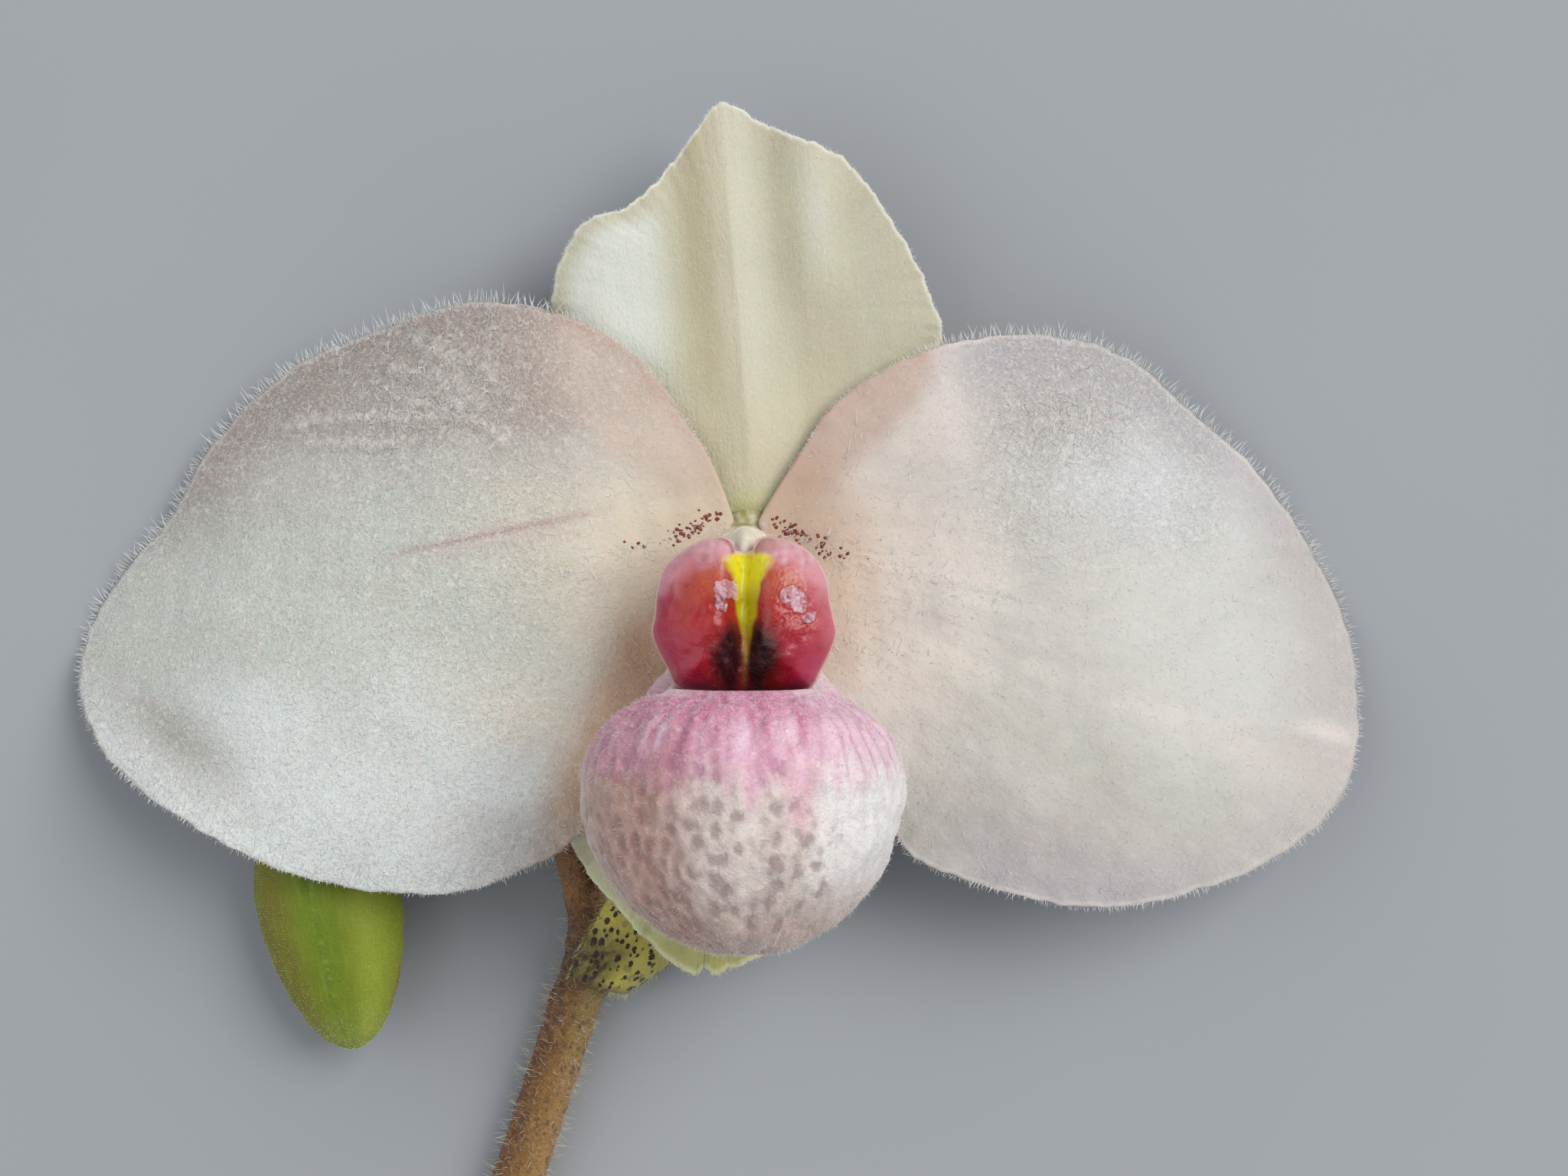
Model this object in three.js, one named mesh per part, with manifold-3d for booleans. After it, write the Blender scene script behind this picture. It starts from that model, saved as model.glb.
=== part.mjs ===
// Paphiopedilum orchid: a cut flowering stem with one open flower, one bud and two bracts.
// It lies on a surface at z = 0 with its flower facing up. Millimetres, +Z up. The origin is on the
// flat underside of the stem, below the node where the stem, the flower's ovary and the bract meet.
// +Y runs from the node towards the top of the flower.
import * as THREE from 'three';
import Module from 'manifold-3d';
import { mergeVertices } from 'three/addons/utils/BufferGeometryUtils.js';

const wasm = await Module();
wasm.setup();

// ---- Driving dimensions ----
const FLOWER_X = 12.6; // centre of the flower from the node
const FLOWER_Y = 33.7;

const STEM_LENGTH = 130; // node to cut end
const STEM_LEAN = 18; // degrees from -Y
const STEM_RADIUS = 2.0;
const STEM_AXIS_HEIGHT = 1.9; // under the radius, so the stem is flat where it lies
const STEM_SIDES = 16;
const STEM_OVERRUN = 2; // past the node's centre, so the flat underside runs on below the node
const NODE_RADIUS = 2.35;
const RACHIS_RADIUS = 1.35;
const STALK_RADIUS = 1.4; // of the ovaries' lower ends

const OVARY_RADIUS = 2.3;
const OVARY_SIDES = 12;
const BUD_OVARY_RADIUS = 1.5;

const BUD_LENGTH = 23.2;
const BUD_HALF_WIDTH = 5.8;
const BUD_DEPTH_RATIO = 0.72;
const BUD_HEIGHT = 4.45; // of its axis

const BLADE = 0.7; // thickness of petals, sepals and bracts
const SYNSEPAL_HEIGHT = 8.2; // upper faces at the flower's centre
const DORSAL_HEIGHT = 9.3;
const PETAL_HEIGHT = 10.5;

const COLUMN_X = 0.1; // middle of the column, the staminode and the anthers
const COLUMN_Y = -0.8;
const COLUMN_RADIUS = 1.7;
const COLUMN_TOP_RADIUS = 1.1;
const ANTHER_OFFSET = 2.7; // of each anther from the column's middle
const COLUMN_FOOT = 7.9;
const COLUMN_TOP = 18.2;

const LIP_HALF_WIDTH = 12.1;
const LIP_HALF_DEPTH = 10.5;
const LIP_HEIGHT = 21.5; // of its widest level above the surface
const LIP_WIDEST_Y = -18.6;
const LIP_BOTTOM_Y = -31.4;
const LIP_SHOULDER = 75; // degrees that the wall turns inwards between its widest level and the mouth
const LIP_MOUTH_HALF_WIDTH = 6.2;
const LIP_MOUTH_HALF_DEPTH = 7.6;
const LIP_MOUTH_HEIGHT = 21.0;
const LIP_RIM_Y = -11.5; // of the mouth's front edge
const LIP_SIDE_DIP = 0.6; // of its sides below the front
const LIP_REAR_RISE = 8.9; // of its rear edge above the sides
const LIP_WALL = 1.1;

const STAMINODE_BACK = 18.6;
const STAMINODE_EDGE = 0.9; // thickness at its margin
const STAMINODE_BULGE = 3.7;

// ---- Materials ----
const finish = (color, roughness) => new THREE.MeshStandardMaterial({ color, roughness, metalness: 0 });
const petalWhite = finish(0xd6cfc8, 0.7);
const sepalIvory = finish(0xd9d8c2, 0.65);
const sepalGreen = finish(0xc9cf9a, 0.65);
const lipPink = finish(0xd8b4c2, 0.6);
const columnWhite = finish(0xe4dccb, 0.5);
const staminodeCrimson = finish(0xa82c3a, 0.35);
const antherYellow = finish(0xd0b860, 0.6);
const bractGreen = finish(0x96a050, 0.6);
const budGreen = finish(0x829b35, 0.6);
const stemBrown = finish(0x966e3c, 0.75);

// ---- Geometry helpers ----
const vector = (x, y, z) => new THREE.Vector3(x, y, z);
const square = (x) => x * x;
const above = (x) => Math.max(0, x);
const { degToRad, lerp } = THREE.MathUtils;

function geometryFrom(coordinates, indices) {
  const geometry = new THREE.BufferGeometry();
  geometry.setAttribute('position', new THREE.Float32BufferAttribute(coordinates, 3));
  geometry.setIndex(indices);
  geometry.computeVertexNormals();
  return geometry;
}

// A solid from points and triangles, turned so that its faces point out.
function closedBody(points, triangles) {
  const signedVolume = ([a, b, c]) => points[a].dot(points[b].clone().cross(points[c]));
  const volume = triangles.reduce((sum, triangle) => sum + signedVolume(triangle), 0);
  const faces = volume > 0 ? triangles : triangles.map(([a, b, c]) => [a, c, b]);
  return geometryFrom(points.flatMap((p) => p.toArray()), faces.flat());
}

// Two triangles for each cell between two rings of equal count.
function band(triangles, from, to, count, closed = true) {
  for (let i = 0; i < (closed ? count : count - 1); i++) {
    const j = (i + 1) % count;
    triangles.push([from + i, from + j, to + j], [from + i, to + j, to + i]);
  }
}

// A solid skinned over rings of points, with a fan over each end.
function loft(rings) {
  const count = rings[0].length;
  const points = rings.flat();
  const triangles = [];
  for (let r = 0; r + 1 < rings.length; r++) band(triangles, r * count, (r + 1) * count, count);
  for (const [ring, turn] of [[0, 1], [rings.length - 1, -1]]) {
    const middle = points.length;
    points.push(rings[ring].reduce((sum, p) => sum.add(p), vector(0, 0, 0)).divideScalar(count));
    for (let i = 0; i < count; i++) {
      const a = ring * count + i;
      const b = ring * count + ((i + 1) % count);
      triangles.push(turn > 0 ? [middle, b, a] : [middle, a, b]);
    }
  }
  return closedBody(points, triangles);
}

// A solid between two faces of equal layout: each a middle point and then rings about it.
function shell(face, backFace, rings, spokes) {
  const triangles = [];
  for (let i = 0; i < spokes; i++) triangles.push([0, 1 + i, 1 + ((i + 1) % spokes)]);
  for (let r = 0; r + 1 < rings; r++) band(triangles, 1 + (r + 1) * spokes, 1 + r * spokes, spokes);
  const half = face.length;
  const back = triangles.map(([a, b, c]) => [a + half, c + half, b + half]);
  const rim = 1 + (rings - 1) * spokes;
  band(triangles, rim + half, rim, spokes);
  return closedBody([...face, ...backFace], [...triangles, ...back]);
}

// A tube along a smooth curve. radius(t) may vary, and section(angle) shapes the round. No point
// goes below z = 0.
function tube(route, radius, steps, sides, section = () => 1) {
  const curve = new THREE.CatmullRomCurve3(route.map((p) => vector(...p)));
  const rings = [];
  for (let s = 0; s <= steps; s++) {
    const t = s / steps;
    const centre = curve.getPointAt(t);
    const along = curve.getTangentAt(t);
    const side = vector(0, 0, 1).cross(along).normalize();
    const up = along.clone().cross(side);
    rings.push(Array.from({ length: sides }, (_, i) => {
      const angle = ((i + 0.5) / sides) * 2 * Math.PI;
      const r = radius(t) * section(angle);
      const p = centre.clone().addScaledVector(side, r * Math.cos(angle));
      p.addScaledVector(up, r * Math.sin(angle));
      p.z = above(p.z);
      return p;
    }));
  }
  return loft(rings);
}

// Points of a smooth closed outline.
function smoothOutline(outline, count) {
  const points = outline.map(([x, y]) => vector(x, y, 0));
  return new THREE.CatmullRomCurve3(points, true, 'catmullrom', 0.5).getPoints(count).slice(0, count);
}

// A blade: an outline filled by rings about a centre, lifted to height(x, y), with a parallel underside.
function blade({ outline, centre, height, rings, spokes, thickness = BLADE }) {
  const edge = smoothOutline(outline, spokes);
  const flat = [vector(...centre, 0)];
  for (let r = 1; r <= rings; r++) {
    const reach = Math.pow(r / rings, 0.85); // closer rings near the margin
    flat.push(...edge.map((p) => vector(...centre, 0).lerp(p, reach)));
  }
  const step = 0.05;
  const top = flat.map((p) => vector(p.x, p.y, height(p.x, p.y)));
  const under = top.map((p) => {
    const slopeX = (height(p.x + step, p.y) - height(p.x - step, p.y)) / (2 * step);
    const slopeY = (height(p.x, p.y + step) - height(p.x, p.y - step)) / (2 * step);
    return p.clone().addScaledVector(vector(-slopeX, -slopeY, 1).normalize(), -thickness);
  });
  return shell(top, under, rings, spokes);
}

// manifold-3d joins solids that grow out of each other.
function toManifold(geometry) {
  const bare = geometry.clone();
  bare.deleteAttribute('normal');
  bare.deleteAttribute('uv');
  const merged = mergeVertices(bare);
  return new wasm.Manifold(new wasm.Mesh({
    numProp: 3,
    vertProperties: new Float32Array(merged.attributes.position.array),
    triVerts: new Uint32Array(merged.index.array),
  }));
}

function join(...geometries) {
  const whole = geometries.map(toManifold).reduce((a, b) => a.add(b)).getMesh();
  return geometryFrom(whole.vertProperties, Array.from(whole.triVerts));
}

function ellipsoid(radii, centre, segments = 14) {
  const geometry = new THREE.SphereGeometry(1, segments, Math.round(segments * 0.7));
  geometry.scale(...radii);
  geometry.translate(...centre);
  return geometry;
}

function piece(group, name, geometry, material) {
  const mesh = new THREE.Mesh(geometry, material);
  mesh.name = name;
  group.add(mesh);
}

// ---- Stem, ovaries, bracts and bud: measured from the node ----
function makeScape() {
  const lean = degToRad(STEM_LEAN);
  const at = (distance) => [-Math.sin(lean) * distance, -Math.cos(lean) * distance, STEM_AXIS_HEIGHT];
  const stemRoute = [at(STEM_LENGTH), at(STEM_LENGTH / 2), at(-STEM_OVERRUN)];
  const stem = tube(stemRoute, (t) => STEM_RADIUS + 0.15 * (1 - t), 8, STEM_SIDES);
  const nodeHalfHeight = NODE_RADIUS * 0.82;
  const node = ellipsoid([NODE_RADIUS, NODE_RADIUS * 1.15, nodeHalfHeight], [0, 0.1, nodeHalfHeight]);
  const rachisRoute = [[0, 0, 2], [-1.8, 8.1, 2.1], [-3.1, 15, 2.2], [-4.2, 21.7, 2.4]];
  const rachisRadius = (t) => RACHIS_RADIUS + 0.55 * above(1 - 6 * t) + 0.25 * above(6 * t - 5);
  const rachis = tube(rachisRoute, rachisRadius, 10, 10);
  const stubRoute = [[0, 0, 2.2], [0.9, 2.4, 2.4], [1.9, 5.1, 2.5]];
  const stub = tube(stubRoute, (t) => lerp(STEM_RADIUS, STALK_RADIUS, t), 4, 10);
  return join(stem, node, rachis, stub);
}

const ribbed = (angle) => 1 + 0.05 * Math.cos(3 * angle); // an ovary has three rounded ribs

// The ovary lies along the surface from the node and bends up to the flower.
function makeFlowerOvary() {
  const route = [[2.0, 5.4, 2.5], [5.1, 13.4, 2.55], [8.5, 22.2, 2.6], [10.9, 28.3, 2.7],
    [12.2, 31.8, 4.0], [12.7, 32.9, 7.0]];
  const swell = (t) => Math.sin(Math.min(1, t * 1.7) * Math.PI / 2);
  const radius = (t) => lerp(STALK_RADIUS, OVARY_RADIUS, swell(t)) - 0.6 * t ** 6;
  return tube(route, radius, 20, OVARY_SIDES, ribbed);
}

function makeBudOvary() {
  const route = [[-4.4, 22.3, 2.5], [-6.4, 27.6, 3.2], [-12.0, 31.0, 4.2], [-19.0, 28.0, 4.6],
    [-22.6, 21.5, 4.6], [-23.2, 15.8, 4.5]];
  return tube(route, (t) => BUD_OVARY_RADIUS * (0.85 + 0.3 * t), 20, 10, ribbed);
}

// A bract: a pointed blade that arches over the stalk it subtends. from and to are the angles of its
// two margins about the crest's axis.
const BRACT_EDGE_HEIGHT = 1.2;
function makeBract({ foot, heading, length, halfWidth, arch, from, to }) {
  const steps = 8;
  const across = 8;
  const along = vector(Math.sin(heading), Math.cos(heading), 0);
  const side = vector(Math.cos(heading), -Math.sin(heading), 0);
  const surface = (inset) => {
    const rows = [];
    for (let s = 0; s <= steps; s++) {
      const t = s / steps;
      const opened = Math.sin((Math.min(1, t * 2.6) * Math.PI) / 2); // it widens above its foot
      const width = halfWidth * (0.6 + 0.4 * opened);
      const height = (arch - inset) * (0.82 + 0.18 * opened);
      const shift = 0.22 * width * Math.sin(t * Math.PI);
      const closing = 0.85 * t ** 3; // the sides draw in to the crest at the tip
      for (let i = 0; i <= across; i++) {
        const angle = lerp(lerp(from, to, i / across), Math.PI / 2, closing);
        const p = vector(...foot, BRACT_EDGE_HEIGHT).addScaledVector(along, length * t);
        p.addScaledVector(side, shift + (width - inset) * Math.cos(angle));
        p.z += height * Math.sin(angle);
        rows.push(p);
      }
    }
    return rows;
  };
  const outer = surface(0);
  const half = outer.length;
  const count = across + 1;
  const triangles = [];
  for (let s = 0; s < steps; s++) {
    const face = [];
    band(face, s * count, (s + 1) * count, count, false);
    triangles.push(...face, ...face.map(([a, b, c]) => [a + half, c + half, b + half]));
  }
  const border = [];
  for (let i = 0; i < across; i++) border.push(i);
  for (let s = 0; s < steps; s++) border.push(s * count + across);
  for (let i = across; i > 0; i--) border.push(steps * count + i);
  for (let s = steps; s > 0; s--) border.push(s * count);
  border.forEach((a, k) => {
    const b = border[(k + 1) % border.length];
    triangles.push([b, a, a + half], [b, a + half, b + half]);
  });
  return closedBody([...outer, ...surface(BLADE)], triangles);
}

const FLOWER_BRACT = { foot: [-0.5, -2.2], heading: 0.39, length: 21, halfWidth: 6.6, arch: 5.5,
  from: 0.2, to: 1.9 };
const BUD_BRACT = { foot: [-4.2, 20.9], heading: -0.35, length: 9, halfWidth: 4.4, arch: 4.8,
  from: 0.1, to: 2.6 };

// The bud tapers to a blunt beak. Its half width at each fraction of its length, base to tip:
const BUD_PROFILE = [[0, 0.26], [0.1, 0.55], [0.2, 0.78], [0.3, 0.91], [0.42, 1], [0.56, 0.97],
  [0.68, 0.88], [0.79, 0.74], [0.89, 0.52], [0.96, 0.28], [1, 0.06]];
const BUD_BASE = [-23.1, 15.1];
const BUD_HEADING = -10; // degrees from -Y
const BUD_SIDES = 20;
function makeBud() {
  const heading = degToRad(BUD_HEADING);
  const along = vector(-Math.sin(heading), -Math.cos(heading), 0);
  const side = vector(Math.cos(heading), -Math.sin(heading), 0);
  return loft(BUD_PROFILE.map(([fraction, width]) => Array.from({ length: BUD_SIDES }, (_, i) => {
    const angle = (i / BUD_SIDES) * 2 * Math.PI;
    const r = BUD_HALF_WIDTH * width;
    const p = vector(...BUD_BASE, BUD_HEIGHT + r * BUD_DEPTH_RATIO * Math.sin(angle));
    return p.addScaledVector(along, BUD_LENGTH * fraction).addScaledVector(side, r * Math.cos(angle));
  })));
}

// ---- Flower: measured from its centre ----

// Height of a petal's upper face. It rises gently from the column, drops towards its tip, and rolls
// back along the direction [rollX, rollY] so that the margin there touches the surface.
const PETAL_ROLL = 9.85;
function petalHeight({ axis, centre, rollX, rollY, tip, length }) {
  const heading = degToRad(axis);
  return (x, y) => {
    const along = above(x * Math.cos(heading) + y * Math.sin(heading));
    const outward = (x - centre[0]) * rollX + (y - centre[1]) * rollY;
    const rolled = PETAL_ROLL * square(above(outward + 4) / 25);
    return PETAL_HEIGHT + 0.05 * along - tip * (along / length) ** 3 - rolled;
  };
}

const LEFT_PETAL = {
  outline: [[-0.9, 1.8], [-3.7, 7.7], [-9.3, 14.7], [-15.5, 17.8], [-21.9, 18.6], [-28.4, 17.0],
    [-34.5, 15.0], [-40.0, 11.7], [-44.4, 6.9], [-47.5, 1.4], [-51.3, -2.8], [-54.4, -8.0],
    [-54.2, -13.6], [-50.0, -18.9], [-43.3, -22.9], [-36.3, -26.3], [-28.9, -27.9], [-22.1, -27.9],
    [-16.0, -25.6], [-12.9, -23.2], [-9.0, -17.0], [-4.8, -10.0], [-2.7, -4.6], [-2.3, -1.8],
    [-2.2, -0.6], [-1.6, 0.7]],
  centre: [-27.3, -5.4],
};
LEFT_PETAL.height = petalHeight({ axis: 188, centre: LEFT_PETAL.centre, rollX: -0.82, rollY: 0.57,
  tip: 2.9, length: 56 });

const RIGHT_PETAL = {
  outline: [[1.5, 1.6], [4.3, 6.4], [7.4, 10.7], [13.0, 14.1], [18.6, 15.7], [25.7, 15.9],
    [31.0, 14.3], [36.3, 10.3], [41.8, 5.6], [46.2, -0.2], [48.8, -5.4], [50.0, -11.2],
    [49.6, -16.9], [47.0, -22.1], [40.4, -26.2], [33.4, -28.5], [27.1, -29.2], [21.0, -28.1],
    [15.4, -26.3], [12.0, -23.8], [9.0, -17.0], [5.5, -10.0], [3.1, -4.6], [2.5, -1.8], [2.4, -0.6],
    [1.9, 0.5]],
  centre: [25.7, -6.0],
};
RIGHT_PETAL.height = petalHeight({ axis: -8, centre: RIGHT_PETAL.centre, rollX: 0.833, rollY: 0.553,
  tip: 4, length: 52 });

// The dorsal sepal has a raised keel, a softer fold to the right of it, and a left half that rises
// to its margin.
const DORSAL = {
  outline: [[2.4, 1.4], [8.5, 5.4], [13.5, 10.5], [15.7, 15.6], [14.9, 19.0], [13.0, 23.0],
    [10.1, 27.4], [7.4, 30.2], [3.9, 31.6], [1.0, 32.8], [-1.9, 34.1], [-4.3, 31.4], [-6.6, 28.5],
    [-9.3, 26.1], [-12.6, 25.0], [-14.6, 22.2], [-15.5, 18.0], [-14.5, 12.0], [-9.5, 5.8],
    [-2.4, 1.4]],
  centre: [-0.2, 18.0],
  height: (x, y) => {
    const fromKeel = x - 1 + 0.09 * y;
    const keel = 1.2 * Math.exp(-square(fromKeel / 2.3)) * Math.min(1, y / 12);
    const fold = 0.7 * Math.exp(-square((fromKeel - 7) / 2)) * Math.min(1, above(y - 12) / 10);
    const leftHalf = 0.1 * above(-fromKeel - 4) - 0.05 * square(above(-x - 10.5));
    const apexRise = 0.05 * above(y - 18);
    return DORSAL_HEIGHT + keel + fold + leftHalf + apexRise - 0.006 * square(fromKeel);
  },
};

const SYNSEPAL = {
  outline: [[2.2, -3.1], [6.5, -6.5], [9.8, -12.0], [10.4, -18.0], [9.6, -23.0], [8.2, -27.0],
    [5.5, -30.8], [2.6, -32.8], [0.0, -34.0], [-2.2, -34.9], [-3.2, -34.4], [-4.4, -34.9],
    [-7.7, -32.4], [-9.6, -30.3], [-12.0, -27.6], [-13.8, -24.6], [-14.2, -19.5], [-12.4, -13.0],
    [-7.5, -7.0], [-2.2, -3.1]],
  centre: [-2.0, -18.5],
  height: (x, y) => SYNSEPAL_HEIGHT - 0.004 * square(x - 0.09 * y),
};

// Lip: a point of the pouch's wall at a level from -90 (bottom) to 90 (mouth) degrees and an angle
// about its axis, where 90 degrees is the front. inset moves it inwards. Both are in radians.
function lipPoint(level, angle, inset) {
  const wide = [(LIP_HALF_WIDTH - inset) * Math.cos(angle), (LIP_HALF_DEPTH - inset) * Math.sin(angle)];
  if (level <= 0) {
    const reach = Math.cos(level);
    const drop = (LIP_WIDEST_Y - LIP_BOTTOM_Y - inset) * Math.sin(level);
    return vector(wide[0] * reach, LIP_WIDEST_Y + drop, LIP_HEIGHT + wide[1] * reach);
  }
  const shoulder = degToRad(LIP_SHOULDER);
  const turned = (level / (Math.PI / 2)) * shoulder;
  const inwards = (1 - Math.cos(turned)) / (1 - Math.cos(shoulder));
  const upwards = Math.sin(turned) / Math.sin(shoulder);
  const front = Math.min(1, 2.5 * above(Math.sin(angle)));
  const back = above(-Math.sin(angle));
  const rimY = LIP_RIM_Y - LIP_SIDE_DIP * (1 - front) + LIP_REAR_RISE * back ** 3;
  const mouthX = (LIP_MOUTH_HALF_WIDTH - inset) * Math.cos(angle);
  const mouthZ = LIP_MOUTH_HEIGHT - LIP_HEIGHT + (LIP_MOUTH_HALF_DEPTH - inset) * Math.sin(angle);
  return vector(
    lerp(wide[0], mouthX, inwards),
    LIP_WIDEST_Y + (rimY - LIP_WIDEST_Y) * upwards,
    LIP_HEIGHT + lerp(wide[1], mouthZ, inwards),
  );
}

function makeLip() {
  const around = 32;
  const levels = [-78, -62, -46, -30, -15, 0, 18, 36, 54, 72, 90].map(degToRad);
  const wall = (inset) => {
    const points = [vector(0, LIP_BOTTOM_Y + inset, LIP_HEIGHT)];
    for (const level of levels) {
      for (let i = 0; i < around; i++) points.push(lipPoint(level, (i / around) * 2 * Math.PI, inset));
    }
    return points;
  };
  return shell(wall(0), wall(LIP_WALL), levels.length, around);
}

// Column: a short pillar with the flat stigma below it, reaching over the mouth of the lip.
function makeColumn() {
  const height = COLUMN_TOP - COLUMN_FOOT;
  const pillar = new THREE.CylinderGeometry(COLUMN_TOP_RADIUS, COLUMN_RADIUS, height, 14);
  pillar.rotateX(Math.PI / 2);
  pillar.translate(COLUMN_X, COLUMN_Y, COLUMN_FOOT + height / 2);
  const neckRoute = [[COLUMN_X, COLUMN_Y, 16.4], [COLUMN_X, -2.8, 16.4], [COLUMN_X, -5.0, 16.3]];
  const neck = tube(neckRoute, () => 0.95, 4, 10);
  const stigma = ellipsoid([2.4, 2.1, 1.05], [COLUMN_X, -6.0, 16.2]);
  return join(pillar, neck, stigma);
}

// Staminode: two glossy cushions on one shield, parted by a groove.
const STAMINODE_OUTLINE = [[COLUMN_X, -1.2], [1.2, -0.55], [2.2, -0.2], [3.5, -0.5], [4.8, -1.2],
  [5.9, -2.2], [6.5, -3.5], [6.7, -5.0], [7.0, -6.5], [7.2, -7.8], [7.0, -9.2], [6.3, -10.5],
  [5.2, -11.6], [2.6, -12.0], [0.1, -11.9], [-2.5, -12.0], [-5.0, -11.5], [-6.0, -10.3],
  [-6.7, -9.1], [-6.95, -7.6], [-6.75, -6.2], [-6.5, -4.3], [-6.1, -2.8], [-5.1, -1.6],
  [-3.6, -0.6], [-2.0, -0.2], [-1.0, -0.55]];
function makeStaminode() {
  const centre = [COLUMN_X, -6.6];
  const rings = 6;
  const spokes = 40;
  const edge = smoothOutline(STAMINODE_OUTLINE, spokes);
  const face = [];
  for (let r = 0; r <= rings; r++) {
    const reach = r / rings;
    const dome = Math.sqrt(1 - reach ** 3);
    for (const p of r === 0 ? edge.slice(0, 1) : edge) {
      const point = vector(...centre, 0).lerp(p, reach);
      const groove = 0.55 * Math.exp(-square((point.x - COLUMN_X) / 1.1));
      point.z = STAMINODE_BACK + STAMINODE_EDGE + STAMINODE_BULGE * dome * (1 - groove);
      face.push(point);
    }
  }
  return shell(face, face.map((p) => vector(p.x, p.y, STAMINODE_BACK)), rings, spokes);
}

// ---- Assembly ----
const orchid = new THREE.Group();
const stalk = new THREE.Group();
const flower = new THREE.Group();
flower.position.set(FLOWER_X, FLOWER_Y, 0);
orchid.add(stalk, flower);

piece(stalk, 'scape', makeScape(), stemBrown);
piece(stalk, 'bract_flower', makeBract(FLOWER_BRACT), bractGreen);
piece(stalk, 'bract_bud', makeBract(BUD_BRACT), bractGreen);
piece(stalk, 'ovary_flower', makeFlowerOvary(), bractGreen);
piece(stalk, 'ovary_bud', makeBudOvary(), bractGreen);
piece(stalk, 'bud', makeBud(), budGreen);

piece(flower, 'dorsal_sepal', blade({ ...DORSAL, rings: 6, spokes: 40 }), sepalIvory);
piece(flower, 'synsepal', blade({ ...SYNSEPAL, rings: 5, spokes: 40 }), sepalGreen);
piece(flower, 'petal_left', blade({ ...LEFT_PETAL, rings: 7, spokes: 50 }), petalWhite);
piece(flower, 'petal_right', blade({ ...RIGHT_PETAL, rings: 7, spokes: 50 }), petalWhite);
piece(flower, 'lip', makeLip(), lipPink);
piece(flower, 'column', makeColumn(), columnWhite);
piece(flower, 'staminode', makeStaminode(), staminodeCrimson);
for (const [name, side] of [['anther_left', -1], ['anther_right', 1]]) {
  const middle = [COLUMN_X + side * ANTHER_OFFSET, -1.8, 15.8];
  piece(flower, name, ellipsoid([1.0, 1.3, 1.2], middle, 12), antherYellow);
}

export default orchid;
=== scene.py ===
import math

import bpy
import numpy as np
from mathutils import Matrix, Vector


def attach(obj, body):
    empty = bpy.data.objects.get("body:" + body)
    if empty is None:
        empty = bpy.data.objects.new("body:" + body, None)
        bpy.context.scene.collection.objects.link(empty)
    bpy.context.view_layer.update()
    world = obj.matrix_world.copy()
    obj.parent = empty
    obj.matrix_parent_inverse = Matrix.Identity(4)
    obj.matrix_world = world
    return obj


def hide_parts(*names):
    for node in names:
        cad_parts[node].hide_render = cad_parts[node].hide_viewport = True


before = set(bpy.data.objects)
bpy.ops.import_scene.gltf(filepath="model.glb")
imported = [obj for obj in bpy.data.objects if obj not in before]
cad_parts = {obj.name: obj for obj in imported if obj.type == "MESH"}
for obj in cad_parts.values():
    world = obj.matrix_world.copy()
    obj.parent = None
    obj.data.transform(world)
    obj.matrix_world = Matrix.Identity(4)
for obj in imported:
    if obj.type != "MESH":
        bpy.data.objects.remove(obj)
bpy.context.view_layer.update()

# Paphiopedilum orchid, a cut flowering stem lying on a surface with its flower facing up. Shapes are worked out in
# millimetres. The part's origin is below the stem's node; the flower's pieces are measured from its centre, FLOWER.
MM = 0.001
FLOWER = np.array((12.6, 33.7, 0.0))
BODY = "root"


def srgb(red, green, blue):
    """A colour from 0 to 255 as the linear values that shaders use."""
    c = np.array((red, green, blue)) / 255.0
    return np.where(c <= 0.04045, c / 12.92, ((c + 0.055) / 1.055) ** 2.4)


def add_object(name, data):
    """A new object in the scene."""
    made = bpy.data.objects.new(name, data)
    bpy.context.scene.collection.objects.link(made)
    return made


# ---- Camera: straight above the flower, the top of the picture towards +Y ----
PICTURE_WIDTH = 2048  # pixels
PICTURE_SCALE = 0.06  # mm of the petal plane for one pixel
SENSOR = 36.0
PETAL_PLANE = 11.7
CAMERA_DISTANCE = 204.8
CAMERA_AIM = (3.1, -4.1)  # from the flower's centre


def make_camera():
    data = bpy.data.cameras.new("camera")
    data.sensor_fit = "HORIZONTAL"
    data.sensor_width = SENSOR
    data.lens = SENSOR * CAMERA_DISTANCE / (PICTURE_WIDTH * PICTURE_SCALE)
    data.clip_start = 0.01
    camera = add_object("camera", data)
    camera.location = (FLOWER + (*CAMERA_AIM, PETAL_PLANE + CAMERA_DISTANCE)) * MM
    bpy.context.scene.camera = camera


make_camera()


# ---- Number helpers ----
def smooth(low, high, value):
    """0 below low, 1 above high, and a soft step between them. low may be the larger."""
    t = np.clip((value - low) / (high - low), 0.0, 1.0)
    return t * t * (3.0 - 2.0 * t)


def bump(value, middle, width):
    """1 at the middle, falling to 0 on both sides."""
    return np.exp(-(((value - middle) / width) ** 2))


def columns(*values):
    """Points whose coordinates are the values."""
    return np.stack(values, axis=1)


def unit(vectors):
    """The vectors at length 1."""
    return vectors / np.linalg.norm(vectors, axis=1, keepdims=True)


def angles(sides):
    """The angles of evenly spaced points around a circle."""
    return np.arange(sides) / sides * 2 * np.pi


WAVES = 14


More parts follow.
